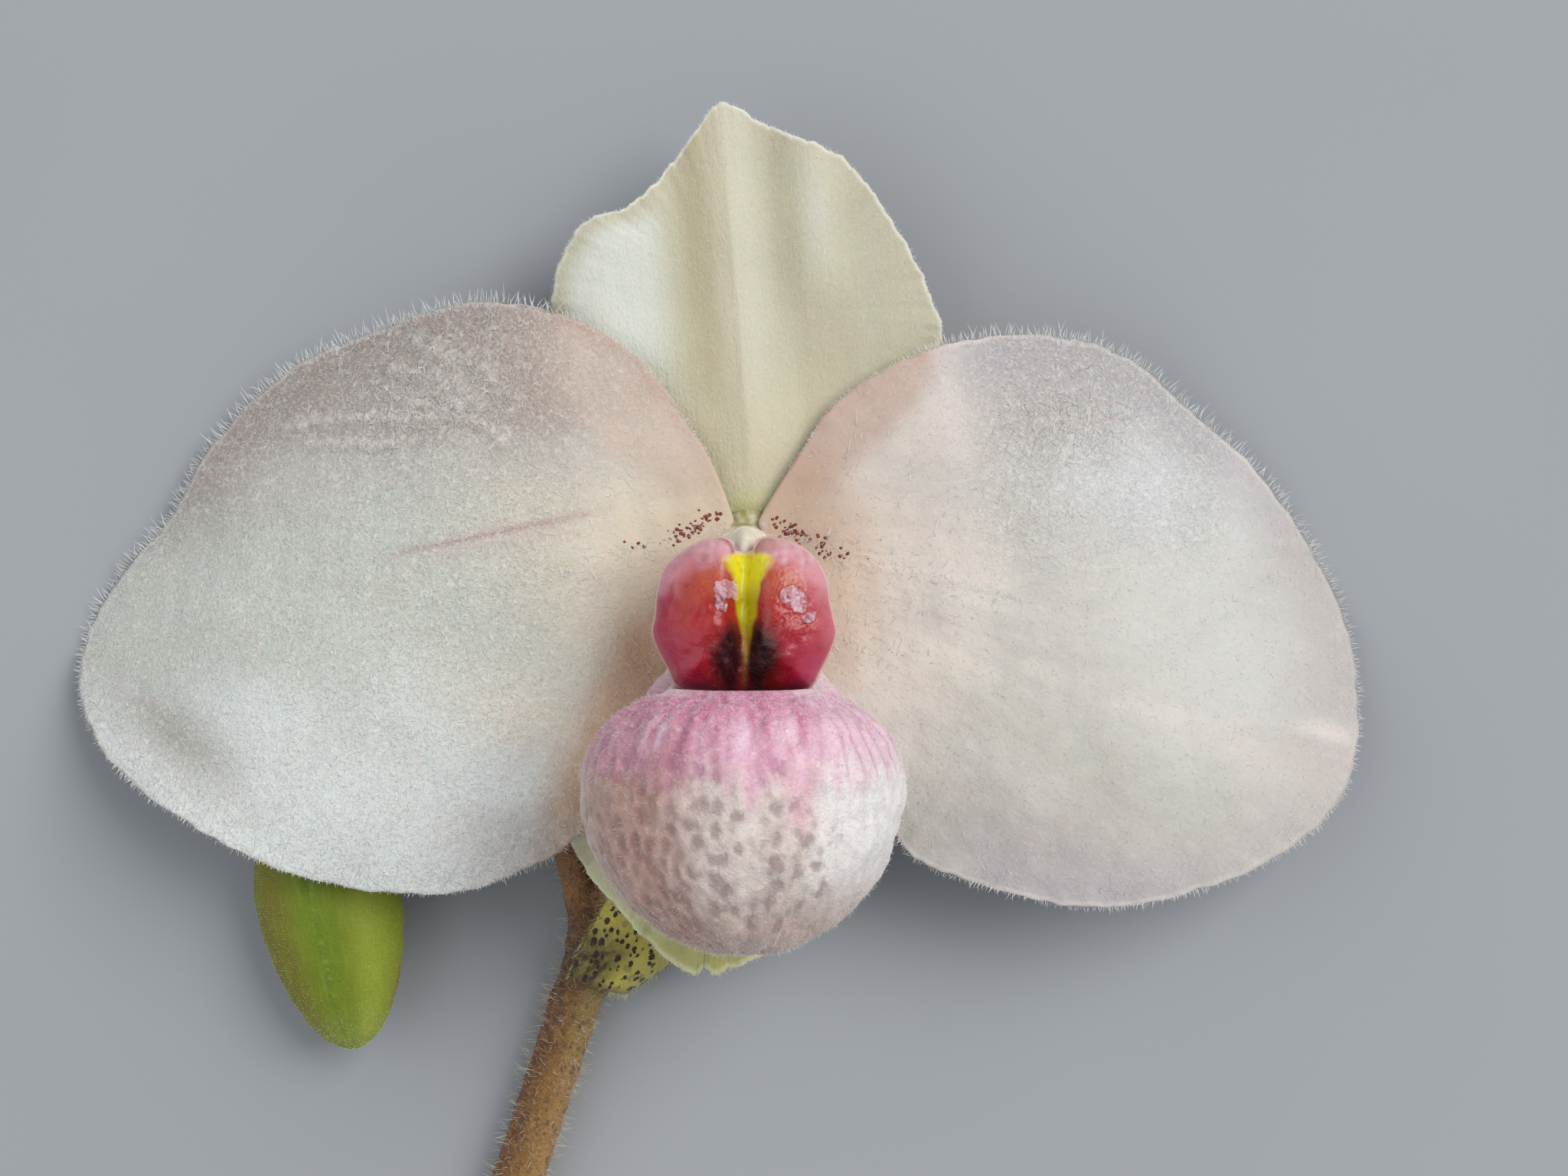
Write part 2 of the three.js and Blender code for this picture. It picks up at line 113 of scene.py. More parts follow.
def lumps(points, size, seed):
    """Smooth relief from about -1 to 1, size mm across, from waves that cross in seeded directions."""
    rng = np.random.default_rng(seed)
    direction = unit(rng.normal(size=(WAVES, points.shape[1])))
    frequency = 2 * np.pi * rng.uniform(0.6, 1.5, (WAVES, 1)) * direction / size
    phase = rng.uniform(0, 2 * np.pi, WAVES)
    return np.sin(points @ frequency.T + phase).sum(axis=1) / math.sqrt(WAVES / 2) / 1.6


def blend(base, colour, share):
    """base painted with colour where share is 1."""
    share = np.clip(share, 0.0, 1.0)[:, None]
    return base * (1 - share) + colour * share


def painted(base, *layers):
    """A colour for each point: base under layers of (red, green, blue, share) or of (colours, share)."""
    colours = srgb(*base)
    for *colour, share in layers:
        colours = blend(colours, srgb(*colour) if len(colour) == 3 else colour[0], share)
    return colours


def turned(x, y, degrees):
    """Coordinates along and across a direction, in degrees from +X."""
    c, s = math.cos(math.radians(degrees)), math.sin(math.radians(degrees))
    return x * c + y * s, y * c - x * s


def axes(heading):
    """Unit vectors along and to the right of a heading on the surface, in radians from +Y."""
    s, c = math.sin(heading), math.cos(heading)
    return np.array((s, c, 0.0)), np.array((c, -s, 0.0))


def spline(p0, p1, p2, p3, w):
    """The point at share w from p1 to p2 on a smooth curve through all four."""
    start, end = 0.5 * (p2 - p0), 0.5 * (p3 - p1)
    return p1 + start * w + (3 * (p2 - p1) - 2 * start - end) * w**2 + (2 * (p1 - p2) + start + end) * w**3


def closed_curve(outline, count):
    """count points of a smooth closed curve through the outline's points."""
    points = np.asarray(outline, float)
    t = np.arange(count) / count * len(points)
    i = np.floor(t).astype(int)
    return spline(*(points[(i + k) % len(points)] for k in (-1, 0, 1, 2)), (t - i)[:, None])


def open_curve(route, count):
    """count points, evenly spaced, of a smooth curve through the route's points."""
    points = np.asarray(route, float)
    ends = np.vstack([2 * points[0] - points[1], points, 2 * points[-1] - points[-2]])
    t = np.linspace(0, len(points) - 1 - 1e-9, count * 8)
    i = np.floor(t).astype(int)
    fine = spline(*(ends[i + k] for k in range(4)), (t - i)[:, None])
    length = np.concatenate([[0], np.cumsum(np.linalg.norm(np.diff(fine, axis=0), axis=1))])
    wanted = np.linspace(0, length[-1], count)
    return columns(*(np.interp(wanted, length, values) for values in fine.T))


def inside(outline, centre, x, y, soft):
    """1 inside an outline and 0 outside it, with a soft edge; the outline is seen whole from its centre."""
    ring = closed_curve(outline, 240) - centre
    angle = np.arctan2(ring[:, 1], ring[:, 0])
    order = np.argsort(angle)
    here = np.arctan2(y - centre[1], x - centre[0])
    reach = np.interp(here, angle[order], np.linalg.norm(ring, axis=1)[order], period=2 * np.pi)
    return smooth(-soft, soft, reach - np.hypot(x - centre[0], y - centre[1]))


# ---- Mesh helpers ----
def make_piece(name, points, faces, material, stands_for=None, fields=None, origin=(0, 0, 0)):
    """A piece of the plant from points in mm, with its named fields kept on its vertices."""
    mesh = bpy.data.meshes.new(name)
    points = points + origin
    points[:, 2] = np.maximum(points[:, 2], 0.0)  # nothing sinks into the surface it lies on
    mesh.from_pydata((points * MM).tolist(), [], [tuple(map(int, f)) for f in faces])
    mesh.update()
    mesh.polygons.foreach_set("use_smooth", [True] * len(mesh.polygons))
    for field, values in (fields or {}).items():
        if values.ndim == 1:
            mesh.attributes.new(field, "FLOAT", "POINT").data.foreach_set("value", values)
        else:
            rgba = np.column_stack([values, np.ones(len(values))])
            mesh.attributes.new(field, "FLOAT_COLOR", "POINT").data.foreach_set("color", rgba.ravel())
    mesh.materials.append(material)
    piece = add_object(name, mesh)
    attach(piece, BODY)
    if stands_for:
        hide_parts(stands_for)


def band(start, following, count, closed=True):
    """Quads between two rings of vertices."""
    i = np.arange(count if closed else count - 1)
    j = (i + 1) % count
    return columns(start + i, start + j, following + j, following + i).tolist()


def fan(middle, start, count):
    """Triangles between a middle vertex and a ring."""
    return [(middle, start + i, start + (i + 1) % count) for i in range(count)]


def flipped(faces):
    return [tuple(face)[::-1] for face in faces]


def sleeve(rings, sides):
    """Faces of a closed tube of rings, whose two end vertices follow them."""
    faces = [f for r in range(rings - 1) for f in band(r * sides, (r + 1) * sides, sides)]
    return faces + flipped(fan(rings * sides, 0, sides)) + fan(rings * sides + 1, (rings - 1) * sides, sides)


def disc(middle, rings, spokes):
    """Faces of a disc from its middle vertex and the rings that follow it."""
    faces = fan(middle, middle + 1, spokes)
    for r in range(rings - 1):
        faces += flipped(band(middle + 1 + r * spokes, middle + 1 + (r + 1) * spokes, spokes))
    return faces


def tube(centres, radii, sides, section=None):
    """Points and faces of a closed tube along centres. section(angle) shapes its round."""
    along = unit(np.gradient(centres, axis=0))
    side = unit(np.cross((0, 0, 1), along))
    angle = (np.arange(sides) + 0.5) / sides * 2 * np.pi
    reach = radii[:, None] * (np.ones(sides) if section is None else section(angle))
    outward = np.cos(angle)[:, None] * side[:, None] + np.sin(angle)[:, None] * np.cross(along, side)[:, None]
    points = centres[:, None] + reach[..., None] * outward
    return np.vstack([points.reshape(-1, 3), centres[0], centres[-1]]), sleeve(len(centres), sides)


def ellipsoid(radii, centre, rings=16, sides=24):
    """Points and faces of a closed ellipsoid."""
    level = np.linspace(-np.pi / 2, np.pi / 2, rings + 1)[1:-1]
    x, y = (np.outer(np.cos(level), around(angles(sides))) for around in (np.cos, np.sin))
    body = columns(x.ravel(), y.ravel(), np.repeat(np.sin(level), sides))
    return np.vstack([body, (0, 0, -1), (0, 0, 1)]) * radii + centre, sleeve(rings - 1, sides)


def fuse(solids, voxel, smoothing):
    """Solids that grow out of each other, as the points and faces of one skin."""
    points, faces, start = [], [], 0
    for solid_points, solid_faces in solids:
        points.append(solid_points)
        faces += [tuple(start + i for i in face) for face in solid_faces]
        start += len(solid_points)
    mesh = bpy.data.meshes.new("fused")
    mesh.from_pydata((np.vstack(points) * MM).tolist(), [], faces)
    scratch = add_object("fused", mesh)
    remesh = scratch.modifiers.new("skin", "REMESH")
    remesh.mode = "VOXEL"
    remesh.voxel_size = voxel * MM
    relax = scratch.modifiers.new("relax", "SMOOTH")
    relax.iterations = smoothing
    relax.factor = 0.5
    skin = scratch.evaluated_get(bpy.context.evaluated_depsgraph_get()).to_mesh()
    out = np.empty(len(skin.vertices) * 3)
    skin.vertices.foreach_get("co", out)
    polygons = [tuple(p.vertices) for p in skin.polygons]
    bpy.data.objects.remove(scratch)
    bpy.data.meshes.remove(mesh)
    return out.reshape(-1, 3) / MM, polygons


def normals_of(points, faces):
    """Unit vertex normals of a mesh of quads and triangles."""
    normal = np.zeros_like(points)
    for count in (3, 4):
        some = np.array([f for f in faces if len(f) == count])
        if len(some):
            face = np.cross(points[some[:, 2]] - points[some[:, 0]], points[some[:, count - 1]] - points[some[:, 1]])
            for k in range(count):
                np.add.at(normal, some[:, k], face)
    return normal / np.maximum(np.linalg.norm(normal, axis=1, keepdims=True), 1e-12)


LONG_HAIR = ((0.0, 1.0), (0.38, 0.8), (0.72, 0.5))  # place along a hair and width of each ring
SHORT_HAIR = ((0.0, 1.0), (0.55, 0.7))


def hairs(name, roots, directions, lengths, radius, droop, material, slot, seed, origin=(0, 0, 0), rings=SHORT_HAIR,
          curl=0.16):
    """Fine tapered three-sided hairs that bend towards droop and, by curl, at random."""
    rng = np.random.default_rng(seed)
    count = len(roots)
    lengths = lengths[:, None]
    directions = unit(directions)
    across = unit(np.cross(directions, rng.normal(size=(count, 3))))
    other = np.cross(directions, across)
    bend = rng.normal(scale=curl, size=(count, 3)) + droop
    points = []
    for t, width in rings:
        middle = roots + directions * (lengths * t) + bend * (lengths * t * t)
        for k in range(3):
            turn = 2 * np.pi * k / 3
            points.append(middle + radius * width * (math.cos(turn) * across + math.sin(turn) * other))
    points.append(roots + directions * lengths + bend * lengths)
    points = np.stack(points, axis=1).reshape(-1, 3)
    points[:, 2] = np.maximum(points[:, 2], 0.02)
    tip = 3 * len(rings)
    shape = [f for r in range(len(rings) - 1) for f in band(3 * r, 3 * r + 3, 3)] + [(2, 1, 0)] + fan(tip, tip - 3, 3)
    faces = [tuple((tip + 1) * i + k for k in face) for i in range(count) for face in shape]
    make_piece(name, points, faces, material, origin=origin)


def skin_hairs(name, points, faces, count, length, radius, material, slot, seed, keep=None, lean=(0, 0, 0), spread=0.3,
               **options):
    """Hairs over a skin, standing along its normals and leaning by lean."""
    rng = np.random.default_rng(seed)
    normal = normals_of(points, faces)
    allowed = np.flatnonzero((points[:, 2] > 0.25) & (normal[:, 2] > -0.9))
    if keep is not None:
        allowed = allowed[keep(points[allowed])]
    pick = rng.choice(allowed, count)
    direction = normal[pick] + rng.normal(0, spread, (count, 3)) + lean
    hairs(name, points[pick] - normal[pick] * 0.05, direction, length * rng.uniform(0.45, 1.15, count), radius,
          (0, 0, -0.06), material, slot, seed + 1, **options)


def spots(name, places, height, rise, material, seed):
    """Small raised spots on a face. Each place is (x, y, half length, half width, heading in degrees)."""
    rng = np.random.default_rng(seed)
    sides = 10
    points, faces = [], []
    for x, y, long, wide, heading in places:
        ragged = 1 + rng.normal(0, 0.14, sides)
        c, s = math.cos(math.radians(heading)), math.sin(math.radians(heading))
        u, v = long * np.cos(angles(sides)) * ragged, wide * np.sin(angles(sides)) * ragged
        start = len(points)
        for share, lift in ((0.0, rise), (0.65, rise * 0.8), (1.0, -0.02)):
            ring = columns(x + share * (u * c - v * s), y + share * (u * s + v * c))[: sides if share else 1]
            points += columns(*ring.T, height(*ring.T) + lift).tolist()
        points.append((x, y, float(height(np.array([x]), np.array([y]))[0]) - 0.15))
        faces += disc(start, 2, sides) + flipped(fan(start + 1 + 2 * sides, start + 1 + sides, sides))
    make_piece(name, np.array(points), faces, material, origin=FLOWER)


# ---- Material helpers ----
class Material:
    """A Principled material whose textures are laid out in mm. Its colour is built up in layers."""

    def __init__(self, name, roughness, soft=(0.0, 50.0), base=None, **constants):
        """soft is the weight and the depth in mm of the light below the surface, base the lowest colour's values."""
        self.material = bpy.data.materials.new(name)
        self.material.use_nodes = True
        self.tree = self.material.node_tree
        self.shader = self.tree.nodes["Principled BSDF"]
        constants.update(Roughness=roughness, Subsurface_Weight=soft[0], Subsurface_Scale=soft[1] * MM)
        for socket, value in constants.items():
            self.shader.inputs[socket.replace("_", " ")].default_value = value
        place = self.node("ShaderNodeTexCoord").outputs["Object"]
        self.place = self.node("ShaderNodeVectorMath", {0: place, 1: (1 / MM,) * 3}, operation="MULTIPLY").outputs[0]
        self.colour = self.paint("tint") if base is None else base

    def feed(self, socket, value):
        """Links a socket to another one or sets it to a value."""
        if isinstance(value, bpy.types.NodeSocket):
            self.tree.links.new(value, socket)
        else:
            socket.default_value = value

    def node(self, kind, inputs=None, **settings):
        made = self.tree.nodes.new(kind)
        for setting, value in settings.items():
            setattr(made, setting, value)
        for socket, value in (inputs or {}).items():
            self.feed(made.inputs[socket], value)
        return made

    def field(self, name):
        """A number kept on the mesh's vertices."""
        return self.node("ShaderNodeAttribute", attribute_name=name).outputs["Fac"]

    def paint(self, name):
        """A colour kept on the mesh's vertices."""
        return self.node("ShaderNodeAttribute", attribute_name=name).outputs["Color"]

    def stretched(self, scale, degrees=0.0):
        """Places stretched by scale along axes that are turned about Z."""
        inputs = {"Vector": self.place, "Rotation": (0, 0, math.radians(degrees)), "Scale": scale}
        return self.node("ShaderNodeMapping", inputs, vector_type="TEXTURE").outputs[0]

    def noise(self, size, detail=3.0, rough=0.55, place=None, distortion=0.0):
        """Noise whose features are size mm across."""
        where = self.place if place is None else place
        inputs = {"Vector": where, "Scale": 1 / size, "Detail": detail, "Roughness": rough, "Distortion": distortion}
        return self.node("ShaderNodeTexNoise", inputs).outputs["Fac"]

    def cells(self, size, randomness=1.0, place=None):
        """The distance from the middle of cells of size mm, and a random number for each cell."""
        where = self.place if place is None else place
        cell = self.node("ShaderNodeTexVoronoi", {"Vector": where, "Scale": 1 / size, "Randomness": randomness})
        return cell.outputs["Distance"], self.node("ShaderNodeSeparateColor", {0: cell.outputs["Color"]}).outputs[0]

    def threads(self, size, width, place=None, detail=1.5):
        """Fine winding lines, about size mm apart, as a mask."""
        off = self.math("SUBTRACT", self.noise(size, detail, 0.5, place, 0.8), 0.5)
        return self.steps(self.math("ABSOLUTE", off, 0.0), width, width * 0.25)

    def blotches(self, size, low, high, ragged, place=None):
        """Irregular spots, at most one to a cell of size mm, as a mask. Their radii are low to high cells."""
        distance, pick = self.cells(size, 0.9, place)
        radius = self.node("ShaderNodeMapRange", {"Value": pick, "To Min": low, "To Max": high}).outputs["Result"]
        warp = self.times(self.math("SUBTRACT", self.noise(size * 0.45, 2.0), 0.5), ragged)
        return self.steps(self.math("SUBTRACT", self.math("ADD", distance, warp), radius), 0.05, -0.03)

    def steps(self, value, low, high, from_value=0.0, to_value=1.0):
        """value mapped from low..high to from_value..to_value, clamped, with soft ends."""
        inputs = {"Value": value, "From Min": low, "From Max": high, "To Min": from_value, "To Max": to_value}
        return self.node("ShaderNodeMapRange", inputs, interpolation_type="SMOOTHSTEP").outputs["Result"]

    def math(self, operation, a, b):
        return self.node("ShaderNodeMath", {0: a, 1: b}, operation=operation).outputs[0]

    def times(self, a, b):
        return self.math("MULTIPLY", a, b)

    def lay(self, share, colour, blend_type="MIX"):
        """Lays a colour over the layers so far."""
        made = self.node("ShaderNodeMix", data_type="RGBA", blend_type=blend_type)
        for name, value in {"Factor": share, "A": self.colour, "B": colour}.items():
            socket = next(s for s in made.inputs if s.name == name and s.enabled)
            self.feed(socket, (*srgb(*value), 1.0) if isinstance(value, tuple) else value)
        self.colour = next(s for s in made.outputs if s.enabled)

    def veil(self, value, low, high, share, colour, blend_type="MIX"):
        """Lays a colour that comes in, up to share, as value goes from low to high."""
        self.lay(self.steps(value, low, high, 0.0, share), colour, blend_type)

    def shade(self, value, low, high, share, colour):
        """A veil that darkens the layers below it."""
        self.veil(value, low, high, share, colour, "MULTIPLY")

    def finish(self, *reliefs, roughness=None):
        """Sets the colour and stacks the reliefs, each a height and its depth in mm."""
        results = {"Base Color": self.colour}
        below = {}
        for height, depth in reliefs:
            inputs = {"Height": height, "Distance": depth * MM, "Strength": 1.0, **below}
            below = {"Normal": self.node("ShaderNodeBump", inputs).outputs["Normal"]}
        if roughness is not None:
            results["Roughness"] = roughness
        for name, value in {**results, **below}.items():
            self.feed(self.shader.inputs[name], value)
        return self.material


# ---- Materials ----
def petal_material():
    m = Material("petal_felt", 0.6, (0.25, 0.8), Sheen_Weight=0.3, Sheen_Roughness=0.5, Specular_IOR_Level=0.25)
    grain = m.field("grain")
    fanned = m.node("ShaderNodeCombineXYZ", {0: m.field("fan_across"), 1: m.field("fan_along")}).outputs[0]
    felt = m.noise(0.3, 4.0, 0.7)
    streaks = m.times(m.noise(0.7, 3.0, 0.6, fanned), m.field("streaked"))
    curls = m.threads(0.6, 0.06)
    folds = m.math("MAXIMUM", m.threads(2.4, 0.03, m.stretched((0.45, 1.6, 1.0), -24), 0.8),
                   m.threads(2.0, 0.025, m.stretched((0.5, 1.4, 1.0), 48), 0.8))
    wrinkles = m.times(folds, m.field("wrinkled"))
    m.veil(m.noise(5.0), 0.35, 0.65, 0.1, (176, 170, 164))
    m.veil(streaks, 0.5, 0.75, 0.1, (238, 234, 226))
    # Lighter on the felt's raised grain and darker in its pits: painted sparkle and painted shade.
    m.lay(m.times(grain, m.steps(felt, 0.52, 0.7, 0.0, 0.42)), (240, 242, 238))
    m.lay(m.times(grain, m.steps(felt, 0.47, 0.3, 0.0, 0.34)), (150, 146, 142), "MULTIPLY")
    m.lay(m.times(grain, m.times(curls, 0.26)), (248, 248, 245))
    # Lighter along the wrinkles: painted highlights.
    m.lay(m.times(wrinkles, 0.4), (238, 232, 226))
    return m.finish((m.noise(2.6), 0.2), (streaks, 0.04), (wrinkles, 0.16), (m.times(felt, grain), 0.24),
                    (m.times(curls, grain), 0.04))


def sepal_material(name, speckle):
    m = Material(name, 0.5, (0.25, 0.8), Sheen_Weight=0.15, Specular_IOR_Level=0.35)
    lines = m.noise(1.3, place=m.stretched((0.6, 6.0, 1.0), 5))
    grain = m.noise(0.26, 4.0, 0.65, m.stretched((0.8, 1.4, 1.0)))
    m.veil(lines, 0.42, 0.7, 0.12, speckle)
    m.veil(grain, 0.52, 0.75, 0.17, (242, 242, 230))
    m.shade(grain, 0.46, 0.3, 0.1, (156, 152, 126))
    return m.finish((lines, 0.07), (m.noise(2.4), 0.12), (grain, 0.1))


def lip_material():
    m = Material("lip_velvet", 0.5, (0.25, 0.9), Sheen_Weight=0.35, Sheen_Roughness=0.45, Specular_IOR_Level=0.35)
    wool = m.noise(0.36, 4.0, 0.65, distortion=0.6)
    coarse = m.noise(1.1, rough=0.6)
    curls = m.times(m.threads(0.7, 0.07), m.field("crinkled"))
    spot = m.math("ADD", m.field("spotted"), m.times(m.math("SUBTRACT", wool, 0.5), 1.1))
    spot = m.times(m.steps(spot, 0.1, 1.0), m.steps(m.field("spotted"), 0.04, 0.3))
    m.shade(coarse, 0.4, 0.66, 0.2, (190, 168, 160))
    m.veil(wool, 0.52, 0.74, 0.34, (246, 240, 240))
    m.shade(wool, 0.47, 0.3, 0.2, (160, 128, 130))
    m.lay(m.times(spot, 0.62), m.paint("spot_tint"))
    m.lay(m.times(curls, 0.2), (246, 222, 234))
    return m.finish((coarse, 0.1), (wool, 0.13), (curls, 0.03), (m.noise(0.14, 2.0), 0.03))


def staminode_material():
    m = Material("staminode_gloss", 0.34, (0.12, 0.5), Coat_Weight=0.25, Coat_Roughness=0.2, Specular_IOR_Level=0.35)
    mottle = m.noise(0.8, rough=0.6)
    fine = m.noise(0.2, rough=0.6)
    glint_patches = m.field("glint_patches")
    facet = m.cells(0.42)[1]
    m.veil(mottle, 0.52, 0.8, 0.1, (220, 120, 104))
    m.shade(mottle, 0.48, 0.28, 0.22, (150, 90, 90))
    m.veil(fine, 0.58, 0.78, 0.16, (230, 160, 150))
    # Pale lilac painted reflections on the crumpled patches, broken up by facets.
    shown = m.times(m.steps(facet, 0.1, 0.7, 0.35, 1.0), m.steps(glint_patches, 0.2, 0.7))
    m.lay(m.times(shown, 0.75), (208, 178, 192))
    return m.finish((mottle, 0.06), (m.times(facet, glint_patches), 0.1), (fine, 0.025),
                    roughness=m.steps(mottle, 0.35, 0.7, 0.26, 0.42))


def waxy_material(name, light, dark):
    m = Material(name, 0.45, (0.2, 0.6))
    patches = m.noise(1.3, 4.0, 0.6)
    grain = m.noise(0.3, rough=0.6)
    m.veil(patches, 0.4, 0.7, 0.5, light)
    m.shade(grain, 0.5, 0.25, 0.35, dark)
    return m.finish((patches, 0.08), (grain, 0.05))


def stem_material():
    m = Material("stem_skin", 0.65, (0.08, 0.5), Sheen_Weight=0.12)
    mottle = m.noise(0.7, 5.0, 0.65)
    fine = m.noise(0.24, rough=0.6)
    flecks = m.blotches(0.7, -0.1, 0.5, 0.6)
    fluff = m.threads(0.5, 0.07)
    m.veil(mottle, 0.36, 0.66, 0.4, (160, 124, 60))
    m.lay(m.times(flecks, 0.6), (84, 56, 30))
    m.shade(fine, 0.5, 0.28, 0.5, (120, 84, 60))
    m.lay(m.times(fluff, 0.14), (200, 168, 124))
    return m.finish((mottle, 0.16), (fine, 0.08), (fluff, 0.04))


def green_material(name, light, dark, spotted=False):
    m = Material(name, 0.5, (0.15, 0.6), Sheen_Weight=0.2, Specular_IOR_Level=0.35)
    lines = m.noise(0.9, rough=0.6)
    grain = m.noise(0.24, 4.0, 0.65)
    m.veil(lines, 0.4, 0.7, 0.18 if spotted else 0.45, light)
    m.shade(grain, 0.48, 0.28, 0.35, dark)
    if spotted:
        m.lay(m.times(m.blotches(1.1, -0.5, 0.55, 0.8), 0.45), (96, 80, 44))
        m.lay(m.blotches(0.76, 0.22, 0.44, 0.45, m.stretched((0.8, 1.15, 1.3), -22)), (50, 28, 20))
    return m.finish((lines, 0.1), (grain, 0.06))


def bud_material():
    m = Material("bud_skin", 0.55, (0.15, 0.8), Sheen_Weight=0.08, Sheen_Roughness=0.4, Specular_IOR_Level=0.35)
    lines = m.noise(0.8, 3.0, 0.6, m.stretched((0.6, 5.0, 1.0), 10))
    grain = m.noise(0.17, 4.0, 0.65)
    m.veil(lines, 0.45, 0.75, 0.16, (160, 176, 50))
    m.veil(grain, 0.52, 0.75, 0.22, (172, 184, 70))
    m.shade(grain, 0.47, 0.3, 0.35, (130, 132, 74))
    return m.finish((lines, 0.05), (m.noise(2.0), 0.1), (grain, 0.06))


def plain_material(name, colour, other, size=1.5):
    m = Material(name, 0.5, (0.1, 0.2), colour)
    m.veil(m.noise(size), 0.35, 0.65, 1.0, other)
    return m.finish()


PETAL = petal_material()
PETAL_SPOT = plain_material("petal_spot", (142, 54, 40), (84, 24, 20), 0.3)
DORSAL_SKIN = sepal_material("dorsal_skin", (204, 200, 168))
SYNSEPAL_SKIN = sepal_material("synsepal_skin", (190, 192, 140))
LIP = lip_material()
STAMINODE = staminode_material()
COLUMN = waxy_material("column_wax", (238, 232, 214), (206, 194, 166))
ANTHER = waxy_material("anther_wax", (222, 202, 130), (150, 120, 60))
STEM = stem_material()
BRACT = green_material("bract_skin", (192, 188, 104), (140, 130, 70), spotted=True)
OVARY = green_material("ovary_skin", (160, 150, 84), (120, 92, 60))
BUD = bud_material()
WHITE_HAIR = plain_material("white_hair", (250, 249, 246), (238, 232, 228))
STEM_HAIR = plain_material("stem_hair", (236, 226, 206), (206, 180, 146))
GREEN_HAIR = plain_material("green_hair", (226, 228, 176), (202, 208, 130))


# ---- Blades: petals and sepals ----
BLADE_THICKNESS = 0.5


def blade(outline, centre, height, rings, spokes, ruffle, seed):
    """Points and faces of a thin blade over an outline, and each point's distance in mm from the margin."""
    edge = closed_curve(outline, spokes)
    rng = np.random.default_rng(seed)
    turn = angles(spokes)
    waves = sum(np.sin(turn * k + rng.uniform(0, 6.28)) * rng.uniform(0.4, 1.0) for k in (17, 24, 33, 41, 58, 83, 97))
    reach = (np.arange(1, rings + 1) / rings) ** 0.9
    size = np.linalg.norm(edge - centre, axis=1)
    ray = (edge - centre) / size[:, None]
    size = size + 0.045 * waves * smooth(5, 12, np.linalg.norm(edge, axis=1))
    flat = np.vstack([centre, (centre + (reach[:, None] * size)[..., None] * ray[None]).reshape(-1, 2)])
    margin = np.concatenate([[size.min()], ((1 - reach)[:, None] * size[None]).ravel()])
    x, y = flat.T
    flutter = np.concatenate([[0], np.tile(np.sin(turn * 13 + 1.0) + 0.6 * np.sin(turn * 29 + 2.0)
                                           + 0.5 * np.sin(turn * 67), rings)])
    top = height(x, y) + ruffle * flutter * np.exp(-margin / 2.0) * smooth(5, 12, np.hypot(x, y))
    step = 0.05
    slope_x = (height(x + step, y) - height(x - step, y)) / (2 * step)
    slope_y = (height(x, y + step) - height(x, y - step)) / (2 * step)
    normal = unit(columns(-slope_x, -slope_y, np.ones_like(x)))
    upper = columns(x, y, top)
    lower = upper - normal * (BLADE_THICKNESS * (0.45 + 0.55 * smooth(0.0, 3.0, margin)))[:, None]
    under = np.arange(2, rings, 3)  # the underside has every third ring
    kept = np.concatenate([[0], (1 + under[:, None] * spokes + np.arange(spokes)).ravel()])
    half, rim, under_rim = len(upper), 1 + (rings - 1) * spokes, 1 + (len(under) - 1) * spokes
    faces = disc(0, rings, spokes) + flipped(disc(half, len(under), spokes))
    faces += flipped(band(rim, half + under_rim, spokes))
    return np.vstack([upper, lower[kept]]), faces, np.concatenate([margin, margin[kept]])


def margin_hairs(name, outline, height, count, length, radius, slot, seed, centre, keep):
    """Hairs that stand out from a blade's margin. length(x, y, outward) gives their greatest length."""
    rng = np.random.default_rng(seed)
    fine = closed_curve(outline, 1600)
    gap = np.linalg.norm(np.roll(fine, -1, axis=0) - fine, axis=1)
    along = np.concatenate([[0], np.cumsum(gap)[:-1]])
    place = (np.arange(count) + rng.uniform(0, 1, count)) / count * gap.sum()

    def at(wanted):
        return columns(*(np.interp(wanted, along, values) for values in fine.T))

    root = at(place)
    ahead = at((place + 0.6) % gap.sum()) - root
    outward = columns(ahead[:, 1], -ahead[:, 0])
    outward *= np.sign((outward * (root - centre)).sum(axis=1))[:, None]
    kept = keep(*root.T)
    root, outward = root[kept], unit(outward)[kept]
    root = root - outward * 0.1
    count = len(root)
    lean = rng.normal(0.0, 0.3, count)
    sideways = columns(outward[:, 1], -outward[:, 0]) * lean[:, None]
    direction = columns(*(outward + sideways).T, rng.normal(0.1, 0.3, count))
    lengths = length(*root.T, outward) * rng.uniform(0.4, 1.0, count)
    hairs(name, columns(*root.T, height(*root.T) - 0.12), direction, lengths, radius, (0, 0, -0.1), WHITE_HAIR, slot,
          seed + 1, FLOWER, LONG_HAIR)


def felt_hairs(name, outline, centre, height, count, length, radius, slot, seed, lean):
    """Short hairs that lie over a blade's upper face."""
    rng = np.random.default_rng(seed)
    edge = closed_curve(outline, 720)
    pick = rng.integers(0, 720, count)
    root = centre + (edge[pick] - centre) * np.sqrt(rng.uniform(0, 0.97, count))[:, None]
    direction = columns(*(rng.normal(0, 0.6, (count, 2)) + lean).T, rng.uniform(0.2, 0.7, count))
    hairs(name, columns(*root.T, height(*root.T) - 0.02), direction, length * rng.uniform(0.5, 1.2, count), radius,
          (0, 0, -0.25), WHITE_HAIR, slot, seed + 1, FLOWER, curl=0.35)


PETAL_HEIGHT = 10.5


def petal_form(axis, centre, roll_x, roll_y, roll, tip, length):
    """The height of a petal's upper face: it rises from the column, drops to its tip and rolls back."""
    heading = math.radians(axis)

    def height(x, y):
        along = np.maximum(0, x * math.cos(heading) + y * math.sin(heading))
        outward = (x - centre[0]) * roll_x + (y - centre[1]) * roll_y
        rolled = roll * (np.maximum(0, outward + 4) / 25) ** 2
        return PETAL_HEIGHT + 0.05 * along - tip * (along / length) ** 3 - rolled

    return height


